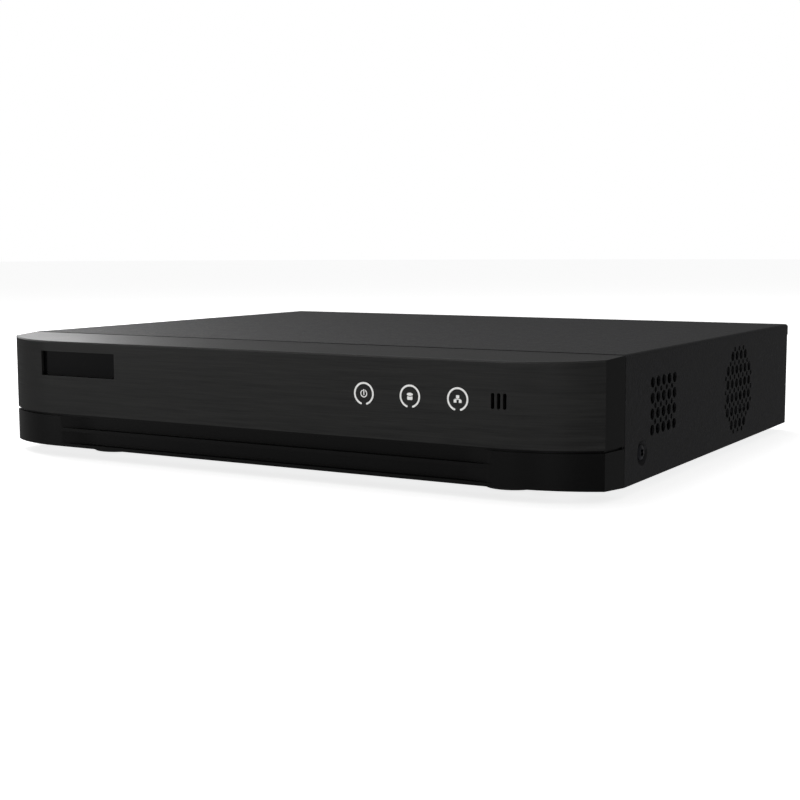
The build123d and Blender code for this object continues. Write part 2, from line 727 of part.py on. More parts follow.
def socket_d(grow):
    """Sketch the D outline of the VGA socket, wider at the top."""
    with BuildSketch(Plane.XY, mode=Mode.PRIVATE) as outline:
        with BuildLine() as line:
            Polyline((-8.4, 4.1), (8.4, 4.1), (6.9, -4.1), (-6.9, -4.1), close=True)
        make_face(line.edges())
        fillet(outline.vertices(), 2.0)
        if grow:
            offset(amount=grow)
    return outline.sketch


with BuildPart() as vga_shell:
    block((vga_x - 15.5, vga_x + 15.5), (socket_front_y - 12, socket_front_y), (board_top, board_top + 12.5))
    with BuildSketch(back_plane):
        with Locations((vga_x, vga_z)):
            add(socket_d(0))
    extrude(amount=-sheet - vga_reach)
    with BuildSketch(Plane.XZ.offset(-socket_front_y)):
        with Locations((vga_x, vga_z)):
            add(socket_d(0))
    extrude(amount=-socket_gap)
    with BuildSketch(Plane.XZ.offset(-socket_front_y + 2)):
        with Locations((vga_x, vga_z)):
            add(socket_d(-vga_wall))
    extrude(amount=-12, mode=Mode.SUBTRACT)
    for side in (-1, 1):
        rod((vga_x + side * vga_post_reach, socket_front_y - 6, vga_z), back, 1.45, 8, Mode.SUBTRACT)
keep(vga_shell.part, "vga_shell")

with BuildPart() as vga_insert:
    with BuildSketch(Plane.XZ.offset(-socket_front_y + 2)):
        with Locations((vga_x, vga_z)):
            add(socket_d(-vga_wall))
    extrude(amount=socket_front_y - 2 - panel_out_y - vga_reach + 0.6)
    with BuildSketch(Plane.XZ.offset(-panel_out_y)):
        with Locations((vga_x, vga_z)):
            with Locations((1.15, 2.0), (0.0, 0.0), (1.15, -2.0)):
                with GridLocations(2.3, 1, 5, 1):
                    Circle(0.5)
    extrude(amount=-6, mode=Mode.SUBTRACT)
keep(vga_insert.part, "vga_insert")

with BuildPart() as vga_posts:
    for side in (-1, 1):
        x = vga_x + side * vga_post_reach
        with BuildSketch(Plane.XZ.offset(-panel_out_y)):
            with Locations((x, vga_z)):
                RegularPolygon(2.75, 6)
        extrude(amount=-5)
        rod((x, panel_out_y, vga_z), front, 1.4, 6)
        rod((x, panel_out_y + 6, vga_z), front, 1.2, 5, Mode.SUBTRACT)
keep(vga_posts.part, "vga_posts")

def hdmi_outline(wall):
    """Sketch the digital video socket's outline, its lower corners cut, or its mouth inside a wall."""
    w, h = hdmi_size[0] / 2, hdmi_size[1] / 2
    with BuildSketch(Plane.XY, mode=Mode.PRIVATE) as outline:
        with BuildLine() as line:
            Polyline((-w, h), (w, h), (w, 2.2 - h), (w - 1.9, -h), (1.9 - w, -h), (-w, 2.2 - h), close=True)
        make_face(line.edges())
        if wall:
            offset(amount=-wall)
    return outline.sketch


hdmi_face_y = panel_out_y + 0.6
with BuildPart() as hdmi_shell:
    with BuildSketch(Plane.XZ.offset(-hdmi_face_y)):
        with Locations((hdmi_x, hdmi_z)):
            add(hdmi_outline(0))
    extrude(amount=13)
    with BuildSketch(Plane.XZ.offset(-hdmi_face_y - past)):
        with Locations((hdmi_x, hdmi_z)):
            add(hdmi_outline(0.5))
    extrude(amount=11, mode=Mode.SUBTRACT)
    block((hdmi_x - 5.6, hdmi_x + 5.6), (hdmi_face_y - 12, panel_out_y - 1), (hdmi_z + 0.1, hdmi_z + 1.5))
keep(hdmi_shell.part, "hdmi_shell")

network_face_y = panel_out_y + 0.3
network_steps = ((5.9, 4.0, 10.9), (3.2, 2.4, 4.1), (1.6, 1.2, 2.5))   # mouth, latch step, latch notch
with BuildPart() as network_socket:
    reach = network_size[0] / 2
    block(
        (network_x - reach, network_x + reach), (network_face_y - 21, network_face_y),
        (board_top, board_top + network_size[1]),
    )
    for reach, low, high in network_steps:
        block(
            (network_x - reach, network_x + reach), (network_face_y - 13, network_face_y + past),
            (board_top + low, board_top + high), Mode.SUBTRACT,
        )
keep(network_socket.part, "network_socket")

usb_face_y = panel_out_y + 0.4
usb_mouth = (12.6, 5.1)
with BuildPart() as usb_shell:
    reach = usb_size[0] / 2
    block(
        (usb_x - reach, usb_x + reach), (usb_face_y - 17, usb_face_y), (board_top, board_top + usb_size[1]),
    )
    for z in usb_zs:
        block(
            (usb_x - usb_mouth[0] / 2, usb_x + usb_mouth[0] / 2), (usb_face_y - 13, usb_face_y + past),
            (z - usb_mouth[1] / 2, z + usb_mouth[1] / 2), Mode.SUBTRACT,
        )
keep(usb_shell.part, "usb_shell")

with BuildPart() as usb_tongues:
    for z in usb_zs:
        block((usb_x - 5.5, usb_x + 5.5), (usb_face_y - 13, usb_face_y - 1.2), (z + 0.2, z + 2.0))
keep(usb_tongues.part, "usb_tongues")

inlet_z = board_top + 5.8
inlet_bore = 2.95
inlet_pin = 1.05
with BuildPart() as power_inlet:
    reach = inlet_size[0] / 2
    block(
        (inlet_x - reach, inlet_x + reach), (socket_front_y - 12, panel_out_y + 0.5),
        (board_top, board_top + inlet_size[1]),
    )
    fillet(power_inlet.edges().filter_by(Axis.Y).group_by(Axis.Z)[-1], 1.5)
    rod((inlet_x, panel_out_y + past, inlet_z), front, inlet_bore, 10, Mode.SUBTRACT)
    rod((inlet_x, panel_out_y - 10, inlet_z), back, inlet_pin, 9)
keep(power_inlet.part, "power_inlet")

# push terminal: two wire holes, each with a sprung lever above it
lever_travel = 1.4
lever_size = (2.8, 3.2)
lever_xs = (terminal_x - 2.55, terminal_x + 2.55)
lever_z = board_top + 8.8
terminal_face_y = panel_out_y + 1.5
lever_reach = 1.8                          # how far a lever stands out at rest
lever_length = 6.5
lever_gap = 0.2
wire_hole_radius = 1.3
wire_hole_z = board_top + 3.6
with BuildPart() as terminal_block:
    block(
        (terminal_x - terminal_size[0] / 2, terminal_x + terminal_size[0] / 2),
        (socket_front_y - 10, terminal_face_y), (board_top, board_top + terminal_size[1]),
    )
    depth = lever_length - lever_reach + lever_travel + 0.4
    for x in lever_xs:
        rod((x, terminal_face_y + past, wire_hole_z), front, wire_hole_radius, 8, Mode.SUBTRACT)
        taper((x, terminal_face_y + 0.01, wire_hole_z), front, 1.9, wire_hole_radius, 1.2, Mode.SUBTRACT)
        block(
            (x - (lever_size[0] + lever_gap) / 2, x + (lever_size[0] + lever_gap) / 2),
            (terminal_face_y - depth, terminal_face_y + past),
            (lever_z - lever_size[1] / 2 - lever_gap, lever_z + lever_size[1] / 2 + lever_gap),
            Mode.SUBTRACT,
        )
keep(terminal_block.part, "terminal_block")

for x, name in zip(lever_xs, ("terminal_lever_left", "terminal_lever_right")):
    with BuildPart() as lever:
        block(
            (x - (lever_size[0] - lever_gap) / 2, x + (lever_size[0] - lever_gap) / 2),
            (terminal_face_y + lever_reach - lever_length, terminal_face_y + lever_reach),
            (lever_z - lever_size[1] / 2, lever_z + lever_size[1] / 2),
        )
        fillet(lever.edges().group_by(Axis.Y)[-1], 0.5)
    keep(lever.part, name)

with BuildPart() as ground_screw:
    pan_screw((ground_place[0], panel_out_y + 0.8, ground_place[1]), front, shank_radius, 6, 2.9, 1.8)
    rod((ground_place[0], panel_out_y, ground_place[1]), back, 3.6, 0.8)
    rod((ground_place[0], panel_in_y, ground_place[1]), front, 2.9, 2.2)
keep(ground_screw.part, "ground_screw")

# ---------------------------------------------------------------- mainboard
header_y = board_y[0] + 0.5
lead_z = board_top + 3.0                   # height of all leads where they meet their headers
sata_x = 58.0
power_lead_x = 76.0
front_lead_x = 93.0
fan_lead_x = 104.5
sata_header_width = 15.0
processor_place = (20.0, 52.0)
processor_size = 27.0
processor_height = 1.8
cell_place = (-42.0, 40.0)

with BuildPart() as mainboard:
    block(board_x, board_y, (board_z, board_top))
    fillet(mainboard.edges().filter_by(Axis.Z), 1.5)
    for x, y in standoff_places:
        rod((x, y, board_z - 1), up, hole_radius, 4, Mode.SUBTRACT)
keep(mainboard.part, "mainboard")

with BuildPart() as standoffs:
    with BuildSketch(Plane.XY.offset(floor_z)):
        with Locations(*standoff_places):
            RegularPolygon(2.9, 6)
    extrude(amount=standoff_height)
    for x, y in standoff_places:
        rod((x, y, base_z - 0.6), up, screw_radius, 1.5)
        rod((x, y, board_z), down, screw_radius - 0.02, 3.5, Mode.SUBTRACT)
keep(standoffs.part, "standoffs")

with BuildPart() as board_screws:
    for x, y in standoff_places:
        pan_screw((x, y, board_top), down, shank_radius, 4.8, 2.7, 1.6)
    for x in front_screw_xs:
        pan_screw((x, board_face_y, front_screw_z), back, shank_radius, 4.8, 2.7, 1.6)
    for y in bracket_foot_ys:
        pan_screw((bracket_foot_x, y, floor_z + sheet), down, shank_radius, 3.4, 2.7, 1.6)
keep(board_screws.part, "board_screws")

with BuildPart() as processor:
    px, py = processor_place
    reach = processor_size / 2
    block((px - reach, px + reach), (py - reach, py + reach), (board_top, board_top + processor_height))
    chamfer(processor.edges().group_by(Axis.Z)[-1], 0.3)
keep(processor.part, "processor")

heatsink_half = 19.0
heatsink_z = board_top + processor_height
heatsink_base = 3.0
fin_height = 12.0
fin_count = 9
with BuildPart() as heatsink:
    block(
        (px - heatsink_half, px + heatsink_half), (py - heatsink_half, py + heatsink_half),
        (heatsink_z, heatsink_z + heatsink_base),
    )
    with Locations((px, py, heatsink_z + heatsink_base + fin_height / 2 - 0.1)):
        with GridLocations((2 * heatsink_half - 1.4) / (fin_count - 1), 1, fin_count, 1):
            Box(1.4, 2 * heatsink_half, fin_height + 0.2)
keep(heatsink.part, "heatsink")

chip_height = 1.2
chips = (                                  # x, y, width and depth: memory, video decoders, network
    (48.5, 42.0, 9, 14), (48.5, 60.0, 9, 14), (66.0, 56.0, 14, 14), (88.0, 56.0, 14, 14),
    (-10.0, 52.0, 9, 14), (-54.0, 68.0, 8, 8),
)
with BuildPart() as board_chips:
    for x, y, w, d in chips:
        block((x - w / 2, x + w / 2), (y - d / 2, y + d / 2), (board_top, board_top + chip_height))
keep(board_chips.part, "board_chips")

capacitor_radius = 4.0
capacitor_height = 11.0
capacitor_places = ((-112, 72), (-101, 72), (-90, 72), (-79, 50), (-68, 50))
with BuildPart() as capacitors:
    for x, y in capacitor_places:
        rod((x, y, board_top), up, capacitor_radius, capacitor_height)
    fillet(capacitors.edges().group_by(Axis.Z)[-1], 0.6)
keep(capacitors.part, "capacitors")

inductor_size = 12.0
inductor_height = 6.0
with BuildPart() as inductors:
    reach = inductor_size / 2
    for x, y in ((-112, 52), (-96, 52), (-112, 36)):
        block((x - reach, x + reach), (y - reach, y + reach), (board_top, board_top + inductor_height))
    chamfer(inductors.edges().filter_by(Axis.Z), 1.5)
keep(inductors.part, "inductors")

cell_radius = 10.0
cell_height = 3.2
cell_z = board_top + 1.0
with BuildPart() as cell_holder:
    x, y = cell_place
    rod((x, y, board_top), up, cell_radius + 1.8, 4.6)
    rod((x, y, cell_z), up, cell_radius + 0.2, 5, Mode.SUBTRACT)
    block((x - 4, x + 4), (y - 14, y - 5), (cell_z, cell_z + 5), Mode.SUBTRACT)
keep(cell_holder.part, "cell_holder")

with BuildPart() as backup_cell:
    rod((*cell_place, cell_z), up, cell_radius, cell_height)
    fillet(backup_cell.edges().group_by(Axis.Z)[-1], 0.4)
keep(backup_cell.part, "backup_cell")

with BuildPart() as board_headers:
    w, d, h = lead_header_size
    for x in (power_lead_x, front_lead_x, fan_lead_x):
        block((x - w / 2, x + w / 2), (header_y, header_y + d), (board_top, board_top + h))
    block(
        (sata_x - sata_header_width / 2, sata_x + sata_header_width / 2), (header_y, header_y + d),
        (board_top, board_top + h),
    )
    block(
        (front_header_x - w / 2, front_header_x + w / 2), (front_header_y, front_header_y + d),
        (front_header_z - h / 2, front_header_z + h / 2),
    )
keep(board_headers.part, "board_headers")

# ---------------------------------------------------------------- hard drive
spindle = (drive_x0 + 51.5, drive_y)
pivot = (spindle[0] + 54.0, spindle[1] + 14.0)
drive_bay_z = drive_z + 9.5                # floor of the space that holds the disks
lid_thickness = 1.2
lid_z = drive_z + drive_height - lid_thickness       # underside of the drive's lid
disk_radius = 47.5
disk_thickness = 0.8
disk_zs = (drive_bay_z + 2.5, drive_bay_z + 6.3)
hub_radius = 12.7
spindle_radius = 5.0
pivot_radius = 4.0
running_gap = 0.05
arm_length = 50.0
parked_turn = 248.9                        # direction of the parked arm, seen from above
plug_ys = (drive_y0 + 35.5, drive_y0 + 55.5)   # power and data sockets on the drive's end
drive_board_z = (drive_z + 0.6, drive_z + 1.8)
corner_radius = 3.0

with BuildPart() as drive_casting:
    block((drive_x0, drive_x1), (drive_y0, drive_y1), (drive_z, lid_z))
    fillet(drive_casting.edges().filter_by(Axis.Z), corner_radius)
    with BuildSketch(Plane.XY.offset(drive_bay_z)):
        with Locations(spindle):
            Circle(disk_radius + 1.5)
        with Locations((spindle[0] + 47, spindle[1])):
            RectangleRounded(74, 92, 6)
    extrude(amount=drive_height, mode=Mode.SUBTRACT)
    block(
        (drive_x0 + 10, drive_x1 + past), (drive_y0 + 7, drive_y1 - 7), (drive_z - past, drive_z + 3),
        Mode.SUBTRACT,
    )
    block(
        (drive_x1 - 10.5, drive_x1 + past), (plug_ys[0] - 13.5, plug_ys[1] + 9),
        (drive_z - past, drive_z + 9.2), Mode.SUBTRACT,
    )
    rod((*spindle, drive_bay_z - 0.5), up, spindle_radius, 14)
    rod((*pivot, drive_bay_z - 0.5), up, pivot_radius, 14)
    for x, y in drive_screw_places:
        rod((x, y, drive_z - past), up, 1.75, 7, Mode.SUBTRACT)
keep(drive_casting.part, "drive_casting")

with BuildPart() as drive_cover:
    block((drive_x0, drive_x1), (drive_y0, drive_y1), (lid_z, lid_z + lid_thickness))
    fillet(drive_cover.edges().filter_by(Axis.Z), corner_radius)
    with BuildSketch(Plane.XY.offset(lid_z + lid_thickness)):
        with Locations(spindle):
            Circle(42)
            Circle(40.5, mode=Mode.SUBTRACT)
        with Locations((spindle[0] + 62, spindle[1])):
            RectangleRounded(34, 70, 5)
            RectangleRounded(31, 67, 4, mode=Mode.SUBTRACT)
    extrude(amount=-0.4, mode=Mode.SUBTRACT)
    for x in (drive_x0 + 4.5, spindle[0] + 4, drive_x1 - 5):
        for y in (drive_y0 + 4.2, drive_y1 - 4.2):
            rod((x, y, lid_z + 0.6), up, 2.2, 1, Mode.SUBTRACT)
keep(drive_cover.part, "drive_cover")

with BuildPart() as drive_board:
    block((drive_x0 + 11, drive_x1 - 0.5), (drive_y0 + 8, drive_y1 - 8), drive_board_z)
    for y, low, high in ((plug_ys[0], 13, 11), (plug_ys[1], 8, 8)):
        block((drive_x1 - 10, drive_x1), (y - low, y + high), (drive_z + 1.7, drive_z + 8.6))
keep(drive_board.part, "drive_board")

with BuildPart() as drive_platters:
    rod((*spindle, drive_bay_z + 0.5), up, hub_radius, 11.5)
    rod((*spindle, drive_bay_z + 12), up, hub_radius - 2, 0.8)
    for z in disk_zs:
        rod((*spindle, z), up, disk_radius, disk_thickness)
    rod((*spindle, drive_bay_z), up, spindle_radius + running_gap, 15, Mode.SUBTRACT)
    with BuildSketch(Plane.XY.offset(drive_bay_z + 12.8)):
        with Locations(spindle):
            with PolarLocations(8.2, 6):
                Circle(0.9)
    extrude(amount=-1.6, mode=Mode.SUBTRACT)
keep(drive_platters.part, "drive_platters")

arm_levels = ((1.1, 2.1), (3.8, 5.6), (7.7, 8.7))      # blades below, between and above the disks
with BuildPart() as head_arm:
    rod((*pivot, drive_bay_z + 0.5), up, 8.0, 9.5)
    along = (cos(radians(parked_turn)), sin(radians(parked_turn)), 0)
    ahead = Plane(origin=(*pivot, drive_bay_z), x_dir=along)
    for low, high in arm_levels:
        with BuildSketch(ahead.offset(low)):
            Polygon((0, 6.5), (arm_length, 1.6), (arm_length, -1.6), (0, -6.5), align=None)
        extrude(amount=high - low)
        with BuildSketch(ahead.offset(low)):
            with Locations((20, 0)):
                SlotOverall(16, 4)
        extrude(amount=high - low, mode=Mode.SUBTRACT)
    with BuildSketch(ahead.offset(3.6)):
        Polygon((0, 5.5), (-25.5, 9.3), (-25.5, -9.3), (0, -5.5), align=None)
    extrude(amount=2.2)
    with BuildSketch(ahead.offset(3.6)):
        Polygon((-11, 4.2), (-22.5, 6), (-22.5, -6), (-11, -4.2), align=None)
    extrude(amount=2.2, mode=Mode.SUBTRACT)
    rod((*pivot, drive_bay_z), up, pivot_radius + running_gap, 12, Mode.SUBTRACT)
keep(head_arm.part, "head_arm")

with BuildPart() as drive_screws:
    for x, y in drive_screw_places:
        pan_screw((x, y, drive_z - sheet), up, 1.7, 5.2, 3.6, 1.8)
keep(drive_screws.part, "drive_screws")

# ---------------------------------------------------------------- cooling fan
fan_corners = [(fan_y + i * fan_pitch / 2, fan_z + j * fan_pitch / 2) for i in (-1, 1) for j in (-1, 1)]
axle_radius = 1.0
cup_radius = 9.8
blade_count = 7
with BuildPart() as fan_frame:
    reach = fan_size / 2
    block((fan_x0, fan_x1), (fan_y - reach, fan_y + reach), (fan_z - reach, fan_z + reach))
    fillet(fan_frame.edges().filter_by(Axis.X), corner_radius)
    rod((fan_x0 - 1, fan_y, fan_z), right, fan_bore, fan_depth + 2, Mode.SUBTRACT)
    rod((fan_x1, fan_y, fan_z), left, 10.5, 1.4)
    with BuildSketch(Plane.YZ.offset(fan_x1 - 1.4)):
        with Locations((fan_y, fan_z)):
            with PolarLocations(14.6, 4, start_angle=20):
                Rectangle(9.6, 2.0)
    extrude(amount=1.4)
    rod((fan_x1 - 1.2, fan_y, fan_z), left, 2.6, 5.4)
    rod((fan_x1 + 0.1, fan_y, fan_z), left, axle_radius + running_gap, 9, Mode.SUBTRACT)
    for y, z in fan_corners:
        rod((fan_x0 - 1, y, z), right, 1.8, fan_depth + 2, Mode.SUBTRACT)
keep(fan_frame.part, "fan_frame")

with BuildPart() as fan_rotor:
    cup_x0 = fan_x0 + 0.8
    rod((cup_x0, fan_y, fan_z), right, cup_radius, 7.4)
    rod((cup_x0 + 1.2, fan_y, fan_z), right, cup_radius - 1, 8, Mode.SUBTRACT)
    rod((cup_x0, fan_y, fan_z), right, axle_radius, 8.6)
    with Locations(Plane(origin=(cup_x0 + 3.7, fan_y, fan_z), z_dir=right).location):
        with PolarLocations(13.4, blade_count):
            with Locations(Location((0, 0, 0), (40, 0, 0))):
                Box(8.2, 9.4, 0.9)
keep(fan_rotor.part, "fan_rotor")

with BuildPart() as fan_bracket:
    block((fan_x1, fan_x1 + sheet), (fan_y - 30, fan_y + 30), (floor_z, base_z + 41.8))
    for y in bracket_foot_ys:
        block(
            (fan_x1 - 11, fan_x1 + sheet), (y - 4, y + 4), (floor_z, floor_z + sheet),
        )
        rod((bracket_foot_x, y, floor_z - 1), up, hole_radius, 4, Mode.SUBTRACT)
    rod((fan_x1 - 1, fan_y, fan_z), right, fan_bore, 4, Mode.SUBTRACT)
    for y, z in fan_corners:
        rod((fan_x1 - 1, y, z), right, screw_radius, 4, Mode.SUBTRACT)
    fillet(fan_bracket.edges().filter_by(Axis.X).group_by(Axis.Z)[-1], 3)
keep(fan_bracket.part, "fan_bracket")

with BuildPart() as fan_screws:
    for y, z in fan_corners:
        pan_screw((fan_x0, y, z), right, shank_radius, fan_depth + sheet + 0.2, 2.7, 1.6)
keep(fan_screws.part, "fan_screws")

# ---------------------------------------------------------------- leads inside
plug_length = 8.0
drive_plug_x = drive_x1 + plug_length + 3
board_plug_y = header_y - plug_length
front_plug_y = front_header_y + lead_header_size[1] + plug_length

with BuildPart() as lead_plugs:
    for x in (power_lead_x, front_lead_x, fan_lead_x):
        block((x - 3.2, x + 3.2), (board_plug_y, header_y), (lead_z - 2.2, lead_z + 2.2))
    block(
        (front_header_x - 3.2, front_header_x + 3.2), (front_plug_y - plug_length, front_plug_y),
        (front_header_z - 2.2, front_header_z + 2.2),
    )
    sata_plug_z = (lead_z - 2.6, lead_z + 2.6)
    block((sata_x - 7, sata_x + 7), (board_plug_y, header_y), sata_plug_z)
    block((drive_x1, drive_plug_x), (plug_ys[1] - 7, plug_ys[1] + 7), sata_plug_z)
    block((drive_x1, drive_plug_x), (plug_ys[0] - 12, plug_ys[0] + 10.5), sata_plug_z)
    chamfer(lead_plugs.edges().filter_by(Axis.Z), 0.6)
keep(lead_plugs.part, "lead_plugs")


def lead(points, radii, tube):
    """A round lead along straight runs joined by arcs."""
    with BuildPart() as made:
        with BuildLine() as path:
            FilletPolyline(*points, radius=radii)
        with BuildSketch(Plane(origin=path.line @ 0, z_dir=path.line % 0)):
            Circle(tube)
        sweep(path=path.wires()[0])
    return made.part


sata_cable = lead(
    ((drive_plug_x, plug_ys[1], lead_z), (sata_x, plug_ys[1], lead_z), (sata_x, board_plug_y, lead_z)),
    [9.5], 2.2,
)
keep(sata_cable, "sata_cable")
drive_power_lead = lead(
    (
        (drive_plug_x, plug_ys[0], lead_z), (power_lead_x, plug_ys[0], lead_z),
        (power_lead_x, board_plug_y, lead_z),
    ), [17], 1.9,
)
keep(drive_power_lead, "drive_power_lead")
front_lead = lead(
    (
        (front_header_x, front_plug_y, front_header_z), (front_header_x, seam_y + 18, front_header_z),
        (front_lead_x, seam_y + 44, lead_z), (front_lead_x, board_plug_y, lead_z),
    ), [18, 30], 1.4,
)
keep(front_lead, "front_lead")
fan_lead_start_x = fan_x1 - 5
fan_lead = lead(
    (
        (fan_lead_start_x, fan_y - fan_size / 2, lead_z), (fan_lead_start_x, -4, lead_z),
        (fan_lead_x, -4, lead_z), (fan_lead_x, board_plug_y, lead_z),
    ), [5.4, 5.4], 0.9,
)
keep(fan_lead, "fan_lead")
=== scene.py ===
# %% [markdown]
# # A compact video recorder
# The real object is a low steel box with a moulded front. Its sheet-metal, castings, boards and sockets
# come from the CAD model as fixed nodes. This lesson gives each of them its real finish, and models the
# small turned, stamped and moulded pieces that the CAD leaves plain.
# Everything is in metres, in the CAD model's frame: X to the right, Y to the back, Z up.

# %% load the frame
import bmesh
import bpy
import json
import math
from mathutils import Matrix, Vector


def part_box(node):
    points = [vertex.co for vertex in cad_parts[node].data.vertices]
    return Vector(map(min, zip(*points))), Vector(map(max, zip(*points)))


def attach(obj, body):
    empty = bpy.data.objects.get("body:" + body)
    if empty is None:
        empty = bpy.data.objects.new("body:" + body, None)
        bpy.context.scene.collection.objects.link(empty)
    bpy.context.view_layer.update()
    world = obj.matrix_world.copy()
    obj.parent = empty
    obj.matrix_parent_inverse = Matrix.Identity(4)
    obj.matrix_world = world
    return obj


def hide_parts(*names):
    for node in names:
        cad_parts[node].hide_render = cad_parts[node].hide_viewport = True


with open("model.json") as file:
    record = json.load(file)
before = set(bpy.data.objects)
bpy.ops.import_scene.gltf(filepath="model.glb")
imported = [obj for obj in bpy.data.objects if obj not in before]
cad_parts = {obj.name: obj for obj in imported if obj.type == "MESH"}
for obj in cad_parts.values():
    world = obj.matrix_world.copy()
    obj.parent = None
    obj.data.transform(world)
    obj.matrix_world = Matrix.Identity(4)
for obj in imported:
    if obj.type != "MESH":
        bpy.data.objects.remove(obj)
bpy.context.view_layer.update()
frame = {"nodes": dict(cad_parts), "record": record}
nodes = frame["nodes"]
mounts = {mount["name"]: Vector(mount["pos_m"]) for mount in frame["record"]["mounts"]}
MM = 0.001
print("CAD nodes:", len(nodes), "mounts:", len(mounts))

# %% [markdown]
# ## The view
# The camera stands to the right of the object and a little above it, about 60 cm away, with a short
# telephoto lens. That keeps the long front edge nearly straight. A camera looks along its own -Z, so its
# axes are worked out from two angles and a very small lean, and go straight into its matrix.

# %% camera
turn, tip, lean = (math.radians(angle) for angle in (30.43, 6.415, -0.165))
backward = Vector((math.sin(turn) * math.cos(tip), -math.cos(turn) * math.cos(tip), math.sin(tip)))
level = Vector((math.cos(turn), math.sin(turn), 0))
upward = backward.cross(level)
camera = bpy.data.objects.new("camera", bpy.data.cameras.new("camera"))
bpy.context.scene.collection.objects.link(camera)
across = math.cos(lean) * level + math.sin(lean) * upward
above = math.cos(lean) * upward - math.sin(lean) * level
axes = Matrix((across, above, backward)).transposed().to_4x4()
camera.matrix_world = Matrix.Translation((0.29635, -0.51775, 0.08318)) @ axes
camera.data.lens = 63.36
camera.data.clip_start = 0.01
bpy.context.scene.camera = camera
print("camera:", [round(c, 3) for c in camera.location], "lens", camera.data.lens)

# %% [markdown]
# ## Two helpers for materials
# Makers and designers write colours as sRGB hex, but shaders work in linear light, so one function turns
# one into the other. A second one adds a shader node, sets what it needs and links its inputs. Every
# finish below is built from these two.

# %% colours and shader nodes
def linear(hex_colour):
    """Turn an sRGB hex colour into the linear red, green, blue and alpha that shaders use."""
    parts = [int(hex_colour[i:i + 2], 16) / 255 for i in (1, 3, 5)]
    return [c / 12.92 if c <= 0.04045 else ((c + 0.055) / 1.055) ** 2.4 for c in parts] + [1.0]


def add_node(tree, kind, settings=None, inputs=None):
    """Add a shader node, set its properties, and set each input or link it to another node's output."""
    node = tree.nodes.new(kind)
    for name, value in (settings or {}).items():
        setattr(node, name, value)
    for name, value in (inputs or {}).items():
        if isinstance(value, bpy.types.NodeSocket):
            tree.links.new(value, node.inputs[name])
        else:
            node.inputs[name].default_value = value
    return node


# %% [markdown]
# ## One way to build a finish
# Real surfaces are never one flat colour: paint has a mottle, moulded plastic has a fine grain, and drawn
# metal has lines. All of them can be read as two noises. A fine one is the relief that you could feel,
# and a broad one is the mottling that you only see. Their sizes are given in millimetres, from the real
# process. `stretch` below 1 draws the noise out along an axis, which is what brushing does.
# Numbers that are the same all over go straight on the shader's own sockets.

# %% a finish from two noises
def surface(name, dark, light, rough, grain, bump=0.0, stretch=(1, 1, 1), patch=15.0, shader=None):
    """Make a finish between two colours and two roughnesses, with grain, bump and patch in millimetres."""
    made = bpy.data.materials.new(name)
    made.use_nodes = True
    tree = made.node_tree
    tree.nodes.clear()
    place = add_node(tree, "ShaderNodeTexCoord").outputs["Object"]
    laid = add_node(tree, "ShaderNodeMapping", inputs={"Vector": place, "Scale": stretch}).outputs[0]
    fine = add_node(
        tree, "ShaderNodeTexNoise", {"label": "fine"},
        {"Vector": laid, "Scale": 1 / (grain * MM), "Detail": 3.0, "Roughness": 0.55},
    ).outputs[0]
    broad = add_node(
        tree, "ShaderNodeTexNoise", {"label": "broad"},
        {"Vector": laid, "Scale": 1 / (patch * MM), "Detail": 2.0},
    ).outputs[0]
    mixed = add_node(tree, "ShaderNodeMath", {"operation": "MULTIPLY_ADD"}, {0: fine, 1: 0.6, 2: 0.0})
    mottle = add_node(tree, "ShaderNodeMath", {"operation": "MULTIPLY_ADD"}, {0: broad, 1: 0.4})
    tree.links.new(mixed.outputs[0], mottle.inputs[2])
    colour = add_node(tree, "ShaderNodeValToRGB", {"label": "colour"}, {"Fac": mottle.outputs[0]})
    low, high = colour.color_ramp.elements
    low.position, high.position = 0.32, 0.68
    low.color, high.color = linear(dark), linear(light)
    gloss = add_node(tree, "ShaderNodeMapRange", {"label": "gloss"}, {"Value": mottle.outputs[0]})
    for socket, value in zip(("From Min", "From Max", "To Min", "To Max"), (0.3, 0.7, *rough)):
        gloss.inputs[socket].default_value = value
    body = add_node(
        tree, "ShaderNodeBsdfPrincipled", {"label": "body"},
        {"Base Color": colour.outputs[0], "Roughness": gloss.outputs[0], **(shader or {})},
    )
    if bump:
        relief = add_node(
            tree, "ShaderNodeBump", {"label": "relief"},
            {"Height": fine, "Strength": 1.0, "Distance": bump * MM},
        )
        tree.links.new(relief.outputs[0], body.inputs["Normal"])
    add_node(tree, "ShaderNodeOutputMaterial", inputs={"Surface": body.outputs[0]})
    return made


def labelled(material, label):
    """Find a node of a finish by its label."""
    return next(node for node in material.node_tree.nodes if node.label == label)


def recolour(material, where, colour):
    """Lay another colour over a finish wherever the factor `where` is 1."""
    tree = material.node_tree
    body = labelled(material, "body")
    before = body.inputs["Base Color"].links[0].from_socket
    over = add_node(tree, "ShaderNodeMix", {"data_type": "RGBA"}, {"Factor": where})
    tree.links.new(before, over.inputs["A"])
    over.inputs["B"].default_value = linear(colour)
    tree.links.new(over.outputs["Result"], body.inputs["Base Color"])


def beyond(material, axis, limit):
    """A factor that is 1 where the object's own coordinate on an axis is past a limit, in metres."""
    tree = material.node_tree
    place = add_node(tree, "ShaderNodeTexCoord").outputs["Object"]
    part = add_node(tree, "ShaderNodeSeparateXYZ", inputs={"Vector": place}).outputs[axis]
    return add_node(tree, "ShaderNodeMath", {"operation": "GREATER_THAN"}, {0: part, 1: limit}).outputs[0]


# %% [markdown]
# ## Painted and plated steel
# The cover is cold-rolled steel with a textured powder coat. The powder melts into grains of about a
# millimetre, so the paint is matt, with a fine sparkle, and it greys towards the horizon.
# The tray and the rear panel are zinc-coated steel, which stays bright and has a drawn grain. Screws are
# zinc-plated, and the black ones are passivated. Plated sockets are nickel: smooth, a little warm.

